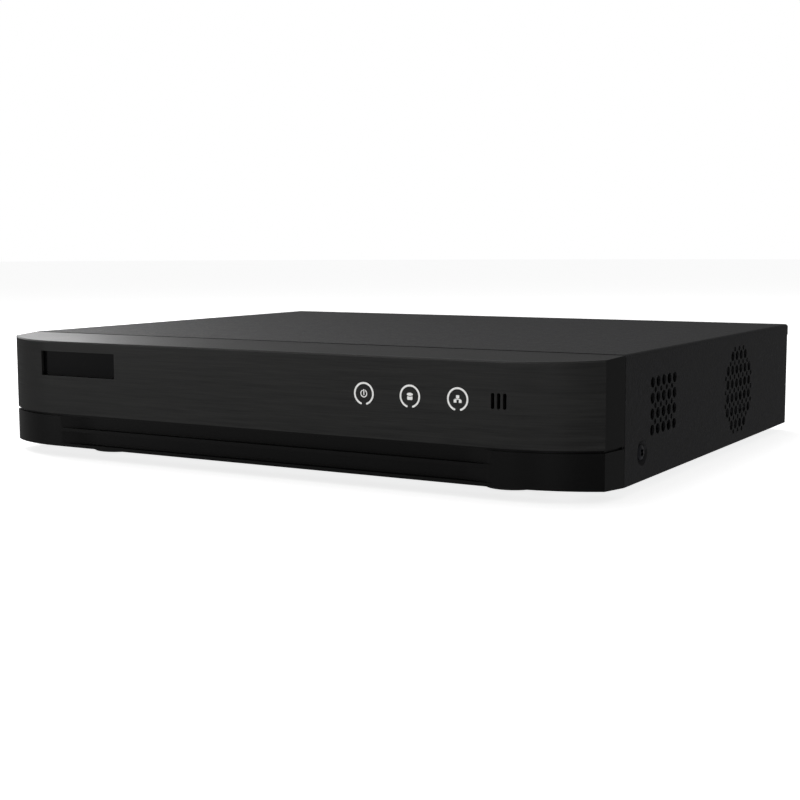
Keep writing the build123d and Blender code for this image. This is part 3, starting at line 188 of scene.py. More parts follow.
# %% steel finishes
powder_coat = surface(
    "powder_coated_steel", "#030303", "#252527", (0.46, 0.66), grain=0.95, bump=0.16, patch=2.5,
    shader={"Specular IOR Level": 0.2},
)
zinc_coat = surface(
    "zinc_coated_steel", "#8d9093", "#c3c5c6", (0.3, 0.5), grain=0.35, bump=0.006, stretch=(0.08, 1, 1),
    patch=9, shader={"Metallic": 1.0},
)
zinc_screw = surface(
    "bright_zinc_plate", "#a4a7aa", "#d2d4d6", (0.22, 0.38), grain=0.2, bump=0.004, patch=2,
    shader={"Metallic": 1.0},
)
black_screw = surface(
    "black_passivated_steel", "#17171a", "#34353a", (0.3, 0.46), grain=0.2, bump=0.004, patch=2,
    shader={"Metallic": 0.75},
)
nickel = surface(
    "nickel_plate", "#b3aea2", "#dad6cc", (0.14, 0.28), grain=0.3, bump=0.003, patch=4,
    shader={"Metallic": 1.0},
)
gold = surface(
    "gold_plate", "#c79a45", "#f0cd7e", (0.15, 0.28), grain=0.15, bump=0.002, patch=1.5,
    shader={"Metallic": 1.0},
)
brass = surface(
    "turned_brass", "#a98646", "#d3b56f", (0.22, 0.38), grain=0.2, bump=0.004, stretch=(1, 1, 3), patch=3,
    shader={"Metallic": 1.0},
)
print("steel and plated finishes: 7")

# %% [markdown]
# ## The front's plastics
# The bezel is ABS from a satin-polished mould: deep black, with a soft shine and almost no grain.
# The face plate is brushed sideways. Each brushed line is about 0.4 mm high and forty times as long, so
# its noise is drawn out along X and Y and left alone along Z; on the rounded ends the
# lines then run round the curve. Brushing also makes its highlight spread upwards and downwards, which is
# what the anisotropy does.

# %% front finishes
satin_abs = surface(
    "satin_black_abs", "#040404", "#080808", (0.34, 0.42), grain=0.5, bump=0.004, patch=40,
    shader={"Specular IOR Level": 0.16, "IOR": 1.52},
)
brushed_plate = surface(
    "brushed_black_plate", "#101010", "#222221", (0.36, 0.5), grain=0.4, bump=0.006,
    stretch=(0.025, 0.025, 1), patch=1.1, shader={"Specular IOR Level": 0.3, "Anisotropic": 0.4},
)
insert_gloss = surface(
    "smooth_black_insert", "#050506", "#09090a", (0.32, 0.38), grain=1.0, bump=0.002, patch=20,
    shader={"Specular IOR Level": 0.08},
)
white_print = surface(
    "white_inlay", "#dcdcda", "#f2f2f0", (0.45, 0.6), grain=0.2, bump=0.004, patch=1.5,
)
acrylic = surface(
    "clear_acrylic", "#e6ecee", "#f8fbfc", (0.04, 0.08), grain=1.0, bump=0.001,
    shader={"Transmission Weight": 0.9, "IOR": 1.49},
)
led_resin = surface(
    "led_resin", "#d8d0a8", "#f0ead0", (0.25, 0.35), grain=0.4, bump=0.003, patch=1,
    shader={"Subsurface Weight": 0.2, "Subsurface Scale": 0.001},
)
rubber = surface(
    "moulded_rubber", "#0e0e0e", "#1d1d1c", (0.7, 0.85), grain=0.4, bump=0.02, patch=6,
    shader={"Specular IOR Level": 0.3},
)
print("front finishes: 7")

# %% [markdown]
# ## Socket, lead and chip plastics
# Sockets are glass-filled nylon: matt, with a fine speckle from the fibres. Leads are PVC, softer and
# smoother. Chips are moulded epoxy with a fine sandy face. They differ in colour and grain only, so one
# table of colours and one loop make them all.

# %% moulded plastics
PLASTICS = {
    # name: (dark, light, roughness, grain in mm, bump in mm)
    "black_nylon": ("#0e0e0f", "#202022", (0.42, 0.56), 0.25, 0.01),
    "ivory_nylon": ("#cfc6ab", "#e6dfca", (0.45, 0.58), 0.25, 0.008),
    "white_insulator": ("#dcdcd6", "#f0f0ec", (0.38, 0.5), 0.3, 0.004),
    "blue_nylon": ("#123a8c", "#2450ac", (0.42, 0.55), 0.25, 0.008),
    "green_nylon": ("#1c6a38", "#2f8a4c", (0.42, 0.55), 0.25, 0.01),
    "orange_nylon": ("#cf5c10", "#ee7c24", (0.4, 0.52), 0.25, 0.008),
    "audio_insert": ("#8c1613", "#b02a22", (0.28, 0.38), 0.4, 0.003),
    "moulded_epoxy": ("#141416", "#26272a", (0.5, 0.66), 0.15, 0.008),
    "capacitor_sleeve": ("#14183c", "#222a5c", (0.2, 0.3), 0.5, 0.004),
    "moulded_ferrite": ("#2a2a2b", "#404042", (0.6, 0.75), 0.2, 0.012),
    "red_jacket": ("#7d120e", "#a01c16", (0.4, 0.5), 0.5, 0.006),
    "black_jacket": ("#101011", "#1e1e20", (0.42, 0.52), 0.5, 0.006),
    "grey_jacket": ("#6c6e72", "#8a8c90", (0.42, 0.52), 0.5, 0.006),
    "green_window": ("#1e8a3a", "#34b454", (0.2, 0.3), 0.5, 0.003),
    "amber_window": ("#b8720c", "#e0961c", (0.2, 0.3), 0.5, 0.003),
}
plastic = {
    name: surface(name, dark, light, rough, grain=grain, bump=bump, patch=5)
    for name, (dark, light, rough, grain, bump) in PLASTICS.items()
}
# the upper audio socket is white and the lower one red, as audio plugs are
audio_split = sum(mounts[name].z for name in ("audio_jack_low", "audio_jack_high")) / 2
recolour(plastic["audio_insert"], beyond(plastic["audio_insert"], "Z", audio_split), "#e4e2dc")
# a can capacitor's sleeve stops short of its bare aluminium top
can_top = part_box("capacitors")[1].z - 0.3 * MM
recolour(plastic["capacitor_sleeve"], beyond(plastic["capacitor_sleeve"], "Z", can_top), "#b8babc")
print("moulded plastics:", len(plastic))

# %% [markdown]
# ## Aluminium, and the disk's mirror
# The drive's base is pressure-cast aluminium with a grainy, dull skin. Its lid is stamped and passes
# through rollers, so it is smoother. The heatsink is extruded and anodised black. A disk is lapped until
# it is a mirror, with rings far too fine to see; here it gets only a fine mottle of 0.4 mm, with no rings.

# %% aluminium finishes
cast_aluminium = surface(
    "cast_aluminium", "#77797b", "#9a9c9e", (0.5, 0.66), grain=0.6, bump=0.02, patch=8,
    shader={"Metallic": 1.0},
)
stamped_aluminium = surface(
    "stamped_aluminium", "#a9abad", "#c9cbcc", (0.28, 0.42), grain=0.4, bump=0.004, stretch=(0.1, 1, 1),
    patch=8, shader={"Metallic": 1.0},
)
anodised_aluminium = surface(
    "black_anodised_aluminium", "#141416", "#26262a", (0.4, 0.52), grain=0.3, bump=0.006,
    stretch=(1, 0.05, 1), patch=6, shader={"Metallic": 0.6},
)
mirror_disk = surface(
    "lapped_disk", "#c4c4c6", "#dcdcde", (0.03, 0.07), grain=0.4, patch=20, shader={"Metallic": 1.0},
)
print("aluminium finishes: 4")

# %% [markdown]
# ## Printed circuit board
# A board is glass cloth under a green lacquer, the solder mask. Copper tracks under it show as lighter
# green lines, and bare pads are tinned. The tracks run mostly straight, so two brick patterns with thin
# joints stand for them: their joints are 0.3 mm wide, a real width for a signal track.

# %% circuit board finish
solder_mask = surface(
    "solder_mask_board", "#0a3a20", "#0f4a2a", (0.22, 0.34), grain=0.8, bump=0.006, patch=10,
    shader={"Coat Weight": 0.3, "Coat Roughness": 0.15},
)
board_tree = solder_mask.node_tree
board_place = add_node(board_tree, "ShaderNodeTexCoord").outputs["Object"]
for width, height in ((9.0, 1.4), (1.9, 7.0)):
    tracks = add_node(
        board_tree, "ShaderNodeTexBrick", {"offset": 0.37, "squash_frequency": 3, "squash": 0.6},
        {"Vector": board_place, "Scale": 1 / MM, "Mortar Size": 0.15, "Mortar Smooth": 0.2,
         "Brick Width": width, "Row Height": height},
    )
    recolour(solder_mask, tracks.outputs["Fac"], "#1d6a40")
pads = add_node(
    board_tree, "ShaderNodeTexVoronoi", inputs={"Vector": board_place, "Scale": 1 / (3.2 * MM)},
).outputs["Distance"]
pad_edge = add_node(board_tree, "ShaderNodeMath", {"operation": "LESS_THAN"}, {0: pads, 1: 0.16})
recolour(solder_mask, pad_edge.outputs[0], "#b9bbb8")
print("board finish: 1")

# %% [markdown]
# ## Finishes on the CAD nodes
# A CAD node keeps its mesh. Only its material changes, so each node's list of materials is emptied and
# gets its finish.

# %% give every CAD node its finish
FINISH_OF = {
    "top_cover": powder_coat, "base_tray": zinc_coat, "rear_panel": zinc_coat, "fan_bracket": zinc_coat,
    "front_bezel": satin_abs, "face_plate": brushed_plate, "name_insert": insert_gloss,
    "indicator_rings": white_print, "indicator_icons": white_print, "light_pipe": acrylic,
    "status_leds": led_resin, "front_board": solder_mask, "mainboard": solder_mask,
    "drive_board": solder_mask, "sounder": plastic["black_nylon"], "board_headers": plastic["ivory_nylon"],
    "lead_plugs": plastic["ivory_nylon"], "rubber_feet": rubber, "cover_screws": black_screw,
    "bezel_screws": black_screw, "board_screws": zinc_screw, "fan_screws": zinc_screw,
    "drive_screws": zinc_screw, "ground_screw": zinc_screw, "standoffs": brass,
    "bnc_housings": plastic["black_nylon"], "bnc_shells": nickel,
    "bnc_insulators": plastic["white_insulator"],
    "rca_block": plastic["black_nylon"], "rca_barrels": nickel, "rca_inserts": plastic["audio_insert"],
    "vga_shell": nickel, "vga_insert": plastic["blue_nylon"], "vga_posts": nickel, "hdmi_shell": nickel,
    "network_socket": nickel, "usb_shell": nickel, "usb_tongues": plastic["black_nylon"],
    "power_inlet": plastic["black_nylon"], "terminal_block": plastic["green_nylon"],
    "terminal_lever_left": plastic["orange_nylon"], "terminal_lever_right": plastic["orange_nylon"],
    "processor": plastic["moulded_epoxy"], "heatsink": anodised_aluminium,
    "board_chips": plastic["moulded_epoxy"], "capacitors": plastic["capacitor_sleeve"],
    "inductors": plastic["moulded_ferrite"], "backup_cell": nickel, "cell_holder": plastic["black_nylon"],
    "drive_casting": cast_aluminium, "drive_cover": stamped_aluminium, "drive_platters": mirror_disk,
    "head_arm": stamped_aluminium, "fan_frame": plastic["black_nylon"], "fan_rotor": plastic["black_nylon"],
    "sata_cable": plastic["red_jacket"], "drive_power_lead": plastic["black_jacket"],
    "front_lead": plastic["grey_jacket"], "fan_lead": plastic["black_jacket"],
}
for name, node in nodes.items():
    node.data.materials.clear()
    node.data.materials.append(FINISH_OF[name])
print("nodes with a finish:", len(FINISH_OF), "of", len(nodes))

# %% [markdown]
# ## Tools for the small pieces
# Most small parts of a recorder are either turned on a lathe or stamped from strip. For a turned one, a
# profile is spun round an axis. For a stamped one, an edge is drawn out along a path and then thickened.
# A model is made once at the origin, in its own mesh, and copied to each place. At the end its doubled
# points are joined, its faces are turned outwards, and only edges sharper than 35 degrees stay sharp.

# %% tools for turned, stamped and rounded pieces
TOUCHING = 0.001 * MM           # points nearer than this are one point
SHARP = math.radians(35)        # edges that turn more than this are not smoothed


def turned(shape, profile, steps=40):
    """Spin a profile of (radius, height) pairs, in millimetres, round Z."""
    points = [shape.verts.new((radius * MM, 0, height * MM)) for radius, height in profile]
    lines = [shape.edges.new(pair) for pair in zip(points, points[1:])]
    bmesh.ops.spin(
        shape, geom=points + lines, axis=(0, 0, 1), cent=(0, 0, 0), angle=math.tau, steps=steps,
        use_merge=True,
    )
    bmesh.ops.remove_doubles(shape, verts=shape.verts, dist=TOUCHING)


def strip(shape, path, width, thickness):
    """Draw a flat strip, `width` wide along X, through (y, z) points in millimetres."""
    ends = [shape.verts.new((side * width / 2 * MM, path[0][0] * MM, path[0][1] * MM)) for side in (-1, 1)]
    edge = shape.edges.new(ends)
    drawn = []
    for (y0, z0), (y1, z1) in zip(path, path[1:]):
        grown = bmesh.ops.extrude_edge_only(shape, edges=[edge])["geom"]
        drawn += [part for part in grown if isinstance(part, bmesh.types.BMFace)]
        moved = [part for part in grown if isinstance(part, bmesh.types.BMVert)]
        edge = next(part for part in grown if isinstance(part, bmesh.types.BMEdge)
                    and set(part.verts) == set(moved))
        bmesh.ops.translate(shape, vec=(0, (y1 - y0) * MM, (z1 - z0) * MM), verts=moved)
    bmesh.ops.solidify(shape, geom=drawn, thickness=thickness * MM)


def rounded_block(shape, low, high, radius):
    """Add a box between two corners, with every edge rounded. All are in metres."""
    low, high = Vector(low), Vector(high)
    fit = Matrix.Translation((low + high) / 2) @ Matrix.Diagonal((*(high - low), 1))
    corners = bmesh.ops.create_cube(shape, size=1, matrix=fit)["verts"]
    edges = [edge for edge in shape.edges if edge.verts[0] in corners]
    bmesh.ops.bevel(
        shape, geom=edges, offset=radius, affect="EDGES", segments=3, profile=0.5, material=-1,
    )


def copy_into(shape, model, place, facing=None, turn=0):
    """Add a copy of a model at a place, turned round its own Z, which may then point along `facing`."""
    held = bpy.data.meshes.new("held")
    model.to_mesh(held)
    aim = Vector(facing).to_track_quat("Z", "Y").to_matrix().to_4x4() if facing else Matrix()
    held.transform(Matrix.Translation(place) @ aim @ Matrix.Rotation(math.radians(turn), 4, "Z"))
    shape.from_mesh(held)
    bpy.data.meshes.remove(held)


def finish_piece(name, shape, finish, replaced=None, body="chassis"):
    """Clean a mesh, make it an object, and say what it rides on, replaces and is made of."""
    bmesh.ops.remove_doubles(shape, verts=shape.verts, dist=TOUCHING)
    bmesh.ops.recalc_face_normals(shape, faces=shape.faces)
    for face in shape.faces:
        face.smooth = True
    for edge in shape.edges:
        edge.smooth = len(edge.link_faces) == 2 and edge.calc_face_angle() < SHARP
    mesh = bpy.data.meshes.new(name)
    shape.to_mesh(mesh)
    shape.free()
    mesh.materials.append(finish)
    piece = bpy.data.objects.new(name, mesh)
    bpy.context.scene.collection.objects.link(piece)
    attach(piece, body)
    if replaced:
        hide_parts(replaced)
    print(name, "faces:", len(mesh.polygons))
    return piece


def softened(name, finish, radius):
    """Copy a CAD node with its sharp edges rounded, as moulding and bending leave them."""
    shape = bmesh.new()
    shape.from_mesh(nodes[name].data)
    bmesh.ops.remove_doubles(shape, verts=shape.verts, dist=0.002 * MM)
    bmesh.ops.dissolve_limit(
        shape, angle_limit=math.radians(0.5), verts=shape.verts, edges=shape.edges,
        use_dissolve_boundaries=False,
    )
    sharp = [edge for edge in shape.edges if len(edge.link_faces) == 2
             and edge.calc_face_angle() > math.radians(40)]
    bmesh.ops.bevel(
        shape, geom=sharp, offset=radius * MM, affect="EDGES", segments=2, profile=0.5, material=-1,
        clamp_overlap=True,
    )
    piece = finish_piece("soft_" + name, shape, finish, name)
    flat_shading = piece.modifiers.new("flat_shading", "WEIGHTED_NORMAL")
    flat_shading.weight = 100
    flat_shading.keep_sharp = True


def solids(name):
    """Find the separate solids of a CAD node, each as a list of its points."""
    shape = bmesh.new()
    shape.from_mesh(nodes[name].data)
    bmesh.ops.remove_doubles(shape, verts=shape.verts, dist=TOUCHING)
    found, left = [], set(shape.verts)
    for first in shape.verts:
        group, waiting = [], [first] if first in left else []
        left.discard(first)
        while waiting:
            vert = waiting.pop()
            group.append(vert.co.copy())
            near = [edge.other_vert(vert) for edge in vert.link_edges]
            waiting += [other for other in near if other in left]
            left.difference_update(near)
        if group:
            found.append(group)
    shape.free()
    return found


def limits(points):
    """The lowest and highest corner of some points."""
    return (Vector([min(point[axis] for point in points) for axis in range(3)]),
            Vector([max(point[axis] for point in points) for axis in range(3)]))


# %% [markdown]
# ## Screws
# A pan-head machine screw has a low domed head with a cross recess, and a rolled thread. The CAD model
# has plain cylinders, so each screw is measured from its solid: its axis is the odd one of its three
# sizes, and its head is the end where its points lie furthest out.
# The cross is the middle of a grid of nine squares without its corners. It is bridged to the head's rim,
# and then pressed in with a taper, as the punch does on the real one.

# %% screws
def measured_screws(name):
    """Measure a node's screws: seat, the way the head faces, and shank, length, head and height in mm."""
    found = []
    for points in solids(name):
        low, high = limits(points)
        size, middle = high - low, (low + high) / 2
        axis = max(range(3), key=lambda i: abs(size[i] - sorted(size)[1]))
        flat = Vector([0 if i == axis else 1 for i in range(3)])
        out = [((point - middle) * flat).length for point in points]
        rim = [point[axis] for point, away in zip(points, out) if away > 0.97 * max(out)]
        side = 1 if sum(rim) / len(rim) > middle[axis] else -1
        base, top = (min(rim), high[axis]) if side > 0 else (max(rim), low[axis])
        end = low[axis] if side > 0 else high[axis]
        shank = max(away for point, away in zip(points, out) if abs(point[axis] - end) < 0.01 * MM)
        seat, facing = middle.copy(), Vector((0, 0, 0))
        seat[axis], facing[axis] = base, side
        sizes = [round(value / MM, 2) for value in (shank, abs(base - end), max(out), abs(top - base))]
        found.append((seat, facing, sizes))
    return found


def cross_screw(shank, length, head, height):
    """Model a screw in millimetres, its head's underside at 0 and Z out of its head."""
    model = bmesh.new()
    profile = [(0, -length), (shank * 0.7, -length), (shank, 0.4 - length)]
    while profile[-1][1] < -0.9:
        profile += [(shank * 0.84, profile[-1][1] + 0.25), (shank, profile[-1][1] + 0.5)]
    profile += [(shank * 0.86, 0), (head * 0.95, 0), (head, height * 0.12), (head, height * 0.4)]
    profile += [(head * 0.97, height * 0.58), (head * 0.88, height * 0.8), (head * 0.72, height)]
    turned(model, profile, steps=36)
    rim = [edge for edge in model.edges if len(edge.link_faces) == 1]
    bmesh.ops.create_grid(
        model, x_segments=3, y_segments=3, size=head * 0.5 * MM,
        matrix=Matrix.Translation((0, 0, height * MM)),
    )
    half_square = head * 0.5 / 3 * MM
    flat = [face for face in model.faces if face.calc_center_median().z > height * MM - TOUCHING]
    corners = [face for face in flat if min(map(abs, face.calc_center_median().xy)) > half_square]
    bmesh.ops.delete(model, geom=corners, context="FACES")
    edges = [edge for edge in model.edges if len(edge.link_faces) == 1]
    bmesh.ops.bridge_loops(model, edges=edges)
    cross = [face for face in flat if face.is_valid]
    sunk = bmesh.ops.extrude_face_region(model, geom=cross)["geom"]
    low = [part for part in sunk if isinstance(part, bmesh.types.BMVert)]
    bmesh.ops.translate(model, vec=(0, 0, -0.75 * height * MM), verts=low)
    bmesh.ops.scale(model, vec=(0.6, 0.6, 1), verts=low)
    return model


SCREWS = {
    "cover_screws": (black_screw, "black_screw"), "bezel_screws": (black_screw, "black_screw"),
    "board_screws": (zinc_screw, "zinc_screw"), "fan_screws": (zinc_screw, "zinc_screw"),
    "drive_screws": (zinc_screw, "zinc_screw"),
}
for name, (finish, slot) in SCREWS.items():
    shape = bmesh.new()
    for count, (seat, facing, sizes) in enumerate(measured_screws(name)):
        model = cross_screw(*sizes)
        copy_into(shape, model, seat, facing, turn=20 + 37 * count)
        model.free()
    finish_piece(name.replace("screws", "screw_set"), shape, finish, name)

# %% [markdown]
# ## The edges of the front
# No moulded or cut edge is perfectly sharp. A rounding of a few tenths of a millimetre is too small to
# see as a shape, but it catches the light as a thin bright line, which is what makes an edge look real.
# The face plate and the bezel are copied from the CAD mesh. Their points are joined, the triangles
# of each flat face are merged, and the edges sharper than 40 degrees are bevelled.

# %% softened front
softened("face_plate", brushed_plate, 0.25)
softened("front_bezel", satin_abs, 0.3)

# %% [markdown]
# ## The earth screw
# It clamps a wire under a washer, so it has a larger head, a washer with a toothed edge that bites into
# the zinc, and a pressed nut behind the panel. The teeth are every second point of the washer's rim,
# pulled in a little.

# %% earth screw
earth_low, earth_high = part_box("ground_screw")
earth = (earth_low + earth_high) / 2
panel_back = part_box("rear_panel")[1].y
panel_skin = 0.8 * MM
shape = bmesh.new()
model = cross_screw(1.4, 5.5, 2.9, 1.8)
copy_into(shape, model, (earth.x, panel_back + 0.8 * MM, earth.z), (0, 1, 0), turn=15)
model.free()
washer = bmesh.new()
turned(washer, [(1.5, 0), (3.3, 0), (3.6, 0.2), (3.6, 0.6), (3.3, 0.8), (1.5, 0.8), (1.5, 0)], steps=40)
for vert in washer.verts:
    if vert.co.xy.length > 3.2 * MM and round(math.atan2(vert.co.y, vert.co.x) / (math.tau / 40)) % 2:
        vert.co.xy *= 0.93
copy_into(shape, washer, (earth.x, panel_back, earth.z), (0, 1, 0))
washer.free()
nut = bmesh.new()
turned(nut, [(1.4, 0), (2.6, 0), (2.9, 0.3), (2.9, 1.9), (2.6, 2.2), (1.4, 2.2), (1.4, 0)], steps=6)
copy_into(shape, nut, (earth.x, panel_back - panel_skin, earth.z), (0, -1, 0))
nut.free()
finish_piece("earth_screw", shape, zinc_screw, "ground_screw")

# %% [markdown]
# ## Video and audio sockets
# A BNC shell is turned from brass and nickel-plated. It has a flange against the panel, a shallow groove,
# and two round lugs for the plug's bayonet. A phono barrel is drawn from thin sheet, so it is a plain
# tube with a flange. Both have a sprung centre contact, which is gold-plated where it matters.

# %% video and audio sockets
shells, contacts = bmesh.new(), bmesh.new()
lug = bmesh.new()
turned(lug, [(0, 4.2), (1.0, 4.2), (1.0, 5.35), (0.8, 5.55), (0, 5.55)], steps=20)
for points in solids("bnc_shells"):
    low, high = limits(points)
    reach = (high.y - low.y) / MM
    foot = ((low.x + high.x) / 2, low.y, (low.z + high.z) / 2)
    shell = bmesh.new()
    turned(shell, [
        (4.05, 0), (6.2, 0), (6.2, 2.1), (5.8, 2.5), (5.1, 2.5), (4.8, 2.8), (4.8, 5.0), (4.5, 5.3),
        (4.5, 5.9), (4.8, 6.2), (4.8, reach - 0.5), (4.55, reach), (4.25, reach), (4.05, reach - 0.25),
        (4.05, 0),
    ], steps=48)
    for side in (-1, 1):
        copy_into(shell, lug, (0, 0, (reach - 4.2) * MM), (side, 0, 0))
    copy_into(shells, shell, foot, (0, 1, 0))
    shell.free()
    pin = bmesh.new()
    turned(pin, [(0.35, 5.5), (0.68, 5.5), (0.68, reach - 2.1), (0.6, reach - 1.9), (0.35, reach - 2.1),
                 (0.35, 5.5)], steps=16)
    copy_into(contacts, pin, foot, (0, 1, 0))
    pin.free()
lug.free()
finish_piece("bnc_shell_set", shells, nickel, "bnc_shells")

barrels = bmesh.new()
for points in solids("rca_barrels"):
    low, high = limits(points)
    reach = (high.y - low.y) / MM
    foot = ((low.x + high.x) / 2, low.y, (low.z + high.z) / 2)
    barrel = bmesh.new()
    turned(barrel, [
        (3.4, 0), (5.2, 0), (5.2, 1.6), (4.9, 2.0), (4.35, 2.0), (4.15, 2.25), (4.15, reach - 0.35),
        (3.95, reach), (3.55, reach), (3.4, reach - 0.2), (3.4, 0),
    ], steps=48)
    copy_into(barrels, barrel, foot, (0, 1, 0))
    barrel.free()
    sleeve = bmesh.new()
    turned(
        sleeve, [(1.35, 0.6), (1.62, 0.6), (1.62, reach - 1.2), (1.35, reach - 1.2), (1.35, 0.6)], steps=24,
    )
    copy_into(contacts, sleeve, foot, (0, 1, 0))
    sleeve.free()
finish_piece("phono_barrels", barrels, nickel, "rca_barrels")

# %% [markdown]
# ## Contacts in the other sockets
# The monitor socket has three rows of five sprung tubes, the digital one has a tongue with ten blades on
# one side and nine on the other, each USB tongue has four wide blades, and the network socket has eight
# wires that bend down from its roof. A barrel power socket has a nickel pin. The blades are stamped from
# strip, so they are drawn out along a path. Real ones are 0.1 mm thick or less; some are 0.15 mm here.

# %% contacts
vga_low, vga_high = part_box("vga_posts")
vga_x, vga_z = (vga_low.x + vga_high.x) / 2, (vga_low.z + vga_high.z) / 2
tube = bmesh.new()
turned(tube, [(0.26, 0.5), (0.46, 0.5), (0.46, 4.9), (0.26, 4.9), (0.26, 0.5)], steps=12)
for row, shift in ((2.0, 1.15), (0.0, 0.0), (-2.0, 1.15)):
    for column in range(5):
        x = vga_x + (shift + 2.3 * (column - 2)) * MM
        copy_into(contacts, tube, (x, panel_back, vga_z + row * MM), (0, 1, 0))
tube.free()

hdmi_low, hdmi_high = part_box("hdmi_shell")
hdmi_x, hdmi_z = (hdmi_low.x + hdmi_high.x) / 2, (hdmi_low.z + hdmi_high.z) / 2
for count, lift, nose in ((10, 1.53, -0.1), (9, 0.07, 0.1)):
    blade = bmesh.new()
    strip(blade, [(-10.5, 0), (-1.6, 0), (-1.2, nose)], width=0.32, thickness=0.1)
    for number in range(count):
        x = hdmi_x + (number - (count - 1) / 2) * MM
        copy_into(contacts, blade, (x, panel_back, hdmi_z + lift * MM))
    blade.free()

blade = bmesh.new()
strip(blade, [(-12, 0), (-3, 0), (-2, -0.15), (-1.4, 0.05)], width=1.1, thickness=0.15)
for points in solids("usb_tongues"):
    low, high = limits(points)
    for offset in (-3.5, -1.0, 1.0, 3.5):
        place = ((low.x + high.x) / 2 + offset * MM, high.y + 1.2 * MM, low.z - 0.02 * MM)
        copy_into(contacts, blade, place)
blade.free()

jack_low, jack_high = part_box("network_socket")
jack_x = (jack_low.x + jack_high.x) / 2
wire = bmesh.new()
strip(wire, [(-12.8, 4.6), (-11.5, 5.1), (-4.2, 10.3), (-3.4, 10.7), (-2.6, 10.75), (-2.2, 10.9)],
      width=0.4, thickness=0.3)
for number in range(8):
    copy_into(contacts, wire, (jack_x + (number - 3.5) * 1.02 * MM, jack_high.y, jack_low.z))
wire.free()
finish_piece("socket_contacts", contacts, gold)

inlet_low, inlet_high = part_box("power_inlet")
pin = bmesh.new()
turned(pin, [(1.05, 0), (1.14, 0), (1.14, 8.7), (0.85, 9.08), (0, 9.08), (0, 9.02), (1.05, 8.6), (1.05, 0)],
       steps=28)
shape = bmesh.new()
copy_into(shape, pin, ((inlet_low.x + inlet_high.x) / 2, panel_back - 10 * MM, mounts["power_inlet"].z),
          (0, 1, 0))
pin.free()
finish_piece("inlet_pin", shape, nickel)

for name, side, colour in (("link_window", -1, "green_window"), ("data_window", 1, "amber_window")):
    shape = bmesh.new()
    middle = jack_x + side * 5.2 * MM
    rounded_block(shape, (middle - 1.6 * MM, jack_high.y - 0.4 * MM, jack_high.z - 2.0 * MM),
                  (middle + 1.6 * MM, jack_high.y + 0.3 * MM, jack_high.z - 0.7 * MM), 0.15 * MM)
    finish_piece(name, shape, plastic[colour])

# %% [markdown]
# ## The fan's wheel
# A fan wheel is moulded in one piece: a cup over the motor, and curved blades that twist as they go out,
# because the tip moves faster than the root. Each blade starts as a bent line across the cup, which is
# drawn outwards in steps, and turned and widened a little at each step. Then it gets its thickness.

# %% fan wheel
wheel_low, wheel_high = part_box("fan_rotor")
frame_low, frame_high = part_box("fan_frame")
hub = Vector((wheel_low.x, (frame_low.y + frame_high.y) / 2, (frame_low.z + frame_high.z) / 2))
BLADES = 7
wheel = bmesh.new()
turned(wheel, [
    (0, 0), (8.4, 0), (9.3, 0.3), (9.8, 1.0), (9.8, 7.4), (8.8, 7.4), (8.8, 1.2), (1.0, 1.2), (1.0, 8.6),
    (0, 8.6),
], steps=56)
blade = bmesh.new()
chord = [(-3.9, -0.5), (-2.6, 0.15), (-1.2, 0.55), (0.2, 0.6), (1.6, 0.4), (2.9, -0.1), (3.9, -0.8)]
points = [blade.verts.new((9.3 * MM, along * MM, lift * MM)) for along, lift in chord]
row = [blade.edges.new(pair) for pair in zip(points, points[1:])]
bmesh.ops.rotate(blade, cent=(0, 0, 0), matrix=Matrix.Rotation(math.radians(46), 3, "X"), verts=points)
for step in range(6):
    grown = bmesh.ops.extrude_edge_only(blade, edges=row)["geom"]
    moved = [part for part in grown if isinstance(part, bmesh.types.BMVert)]
    row = [part for part in grown if isinstance(part, bmesh.types.BMEdge)
           and part.verts[0] in moved and part.verts[1] in moved]
    bmesh.ops.translate(blade, vec=(1.36 * MM, 0, 0), verts=moved)
    bmesh.ops.rotate(blade, cent=(0, 0, 0), matrix=Matrix.Rotation(math.radians(-3), 3, "X"), verts=moved)
    bmesh.ops.scale(blade, vec=(1, 1.03, 1.03), verts=moved)
bmesh.ops.recalc_face_normals(blade, faces=blade.faces)
bmesh.ops.solidify(blade, geom=list(blade.faces), thickness=0.8 * MM)
for number in range(BLADES):
    copy_into(wheel, blade, (0, 0, 3.9 * MM), turn=number * 360 / BLADES)
blade.free()
shape = bmesh.new()
copy_into(shape, wheel, hub, (1, 0, 0))
wheel.free()
finish_piece("fan_wheel", shape, plastic["black_nylon"], "fan_rotor", body="fan_rotor")

# %% [markdown]
# ## The table and the studio
# The table is plain and white. It gives off a little light of its own, and it is kept out of
# reflections, because black paint would show it as grey. For the same reason the room is bright for the
# camera and dim for the object.
# A black object is seen mostly by what it mirrors, so each soft lamp stands where one kind of face mirrors
# it towards the camera: one overhead and one at the left for the cover, three low ones in front for the
# face plate, the ends of the recess and the right-hand corner, and a weak one for the side.

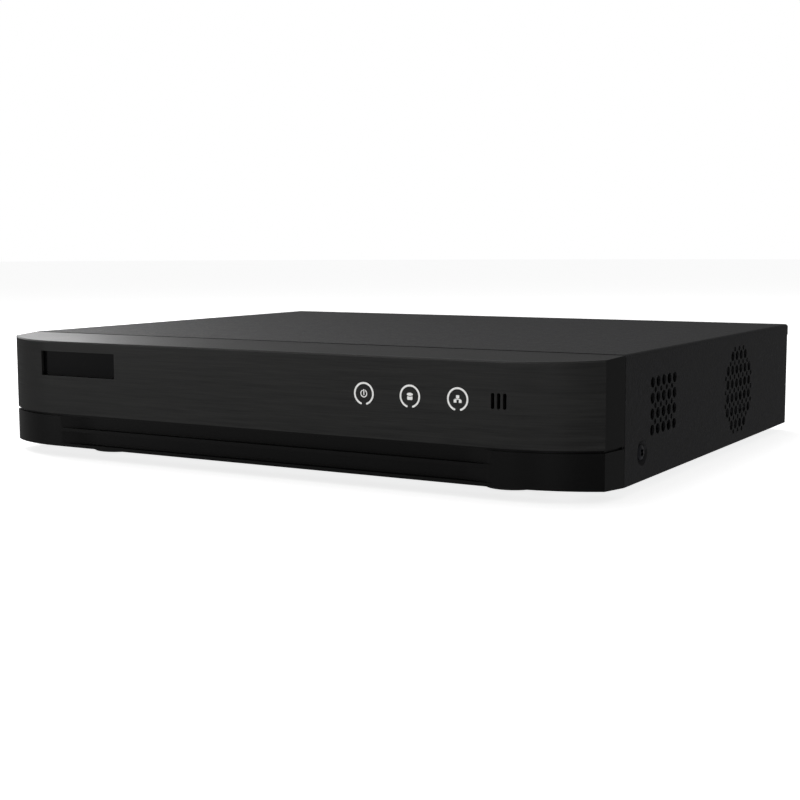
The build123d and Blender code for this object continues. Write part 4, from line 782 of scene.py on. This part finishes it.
# %% floor, room and lamps
floor_mesh = bpy.data.meshes.new("table_top")
floor_shape = bmesh.new()
bmesh.ops.create_circle(
    floor_shape, cap_ends=True, segments=64, radius=6.0, matrix=Matrix.Translation((0, 0, -0.1 * MM)),
)
floor_shape.to_mesh(floor_mesh)
floor_shape.free()
floor = bpy.data.objects.new("table_top", floor_mesh)
bpy.context.scene.collection.objects.link(floor)
floor_mesh.materials.append(surface(
    "lit_white_table", "#f2f2f2", "#f7f7f7", (0.7, 0.8), grain=2.0, patch=60,
    shader={"Specular IOR Level": 0.1, "Emission Color": (1, 1, 1, 1), "Emission Strength": 0.78},
))
floor.visible_glossy = False

room = bpy.data.worlds.new("room")
room.use_nodes = True
seen = add_node(room.node_tree, "ShaderNodeLightPath").outputs["Is Camera Ray"]
strength = add_node(
    room.node_tree, "ShaderNodeMapRange", inputs={"Value": seen, "To Min": 0.19, "To Max": 1.0},
)
walls = room.node_tree.nodes["Background"]
walls.inputs["Color"].default_value = (1, 1, 1, 1)
room.node_tree.links.new(strength.outputs[0], walls.inputs["Strength"])
bpy.context.scene.world = room
bpy.context.scene.view_settings.view_transform = "Standard"


def soft_lamp(name, place, aim, size, power):
    """Add a square softbox at a place, turned towards a point."""
    lamp = bpy.data.lights.new(name, "AREA")
    lamp.shape = "SQUARE"
    lamp.size = size
    lamp.energy = power
    holder = bpy.data.objects.new(name, lamp)
    bpy.context.scene.collection.objects.link(holder)
    way = (Vector(aim) - Vector(place)).to_track_quat("-Z", "Y")
    holder.matrix_world = Matrix.Translation(place) @ way.to_matrix().to_4x4()
    holder.visible_camera = False


soft_lamp("overhead_lamp", (-0.3, 0.2, 1.0), (0, 0, 0.02), 0.9, 5.0)
soft_lamp("left_lamp", (-0.85, 0.35, 0.5), (-0.1, 0, 0.04), 0.6, 3.6)
soft_lamp("front_lamp", (-0.2, -0.95, 0.14), (0.06, -0.1, 0.03), 0.3, 0.5)
soft_lamp("low_left_lamp", (-0.68, -0.72, 0.07), (0.08, -0.1, 0.02), 0.12, 0.35)
soft_lamp("low_right_lamp", (0.38, -1.05, 0.08), (0.1, -0.1, 0.02), 0.2, 0.5)
soft_lamp("right_lamp", (0.9, -0.5, 0.45), (0.1, -0.05, 0.03), 0.4, 0.05)
print("lamps: 6")
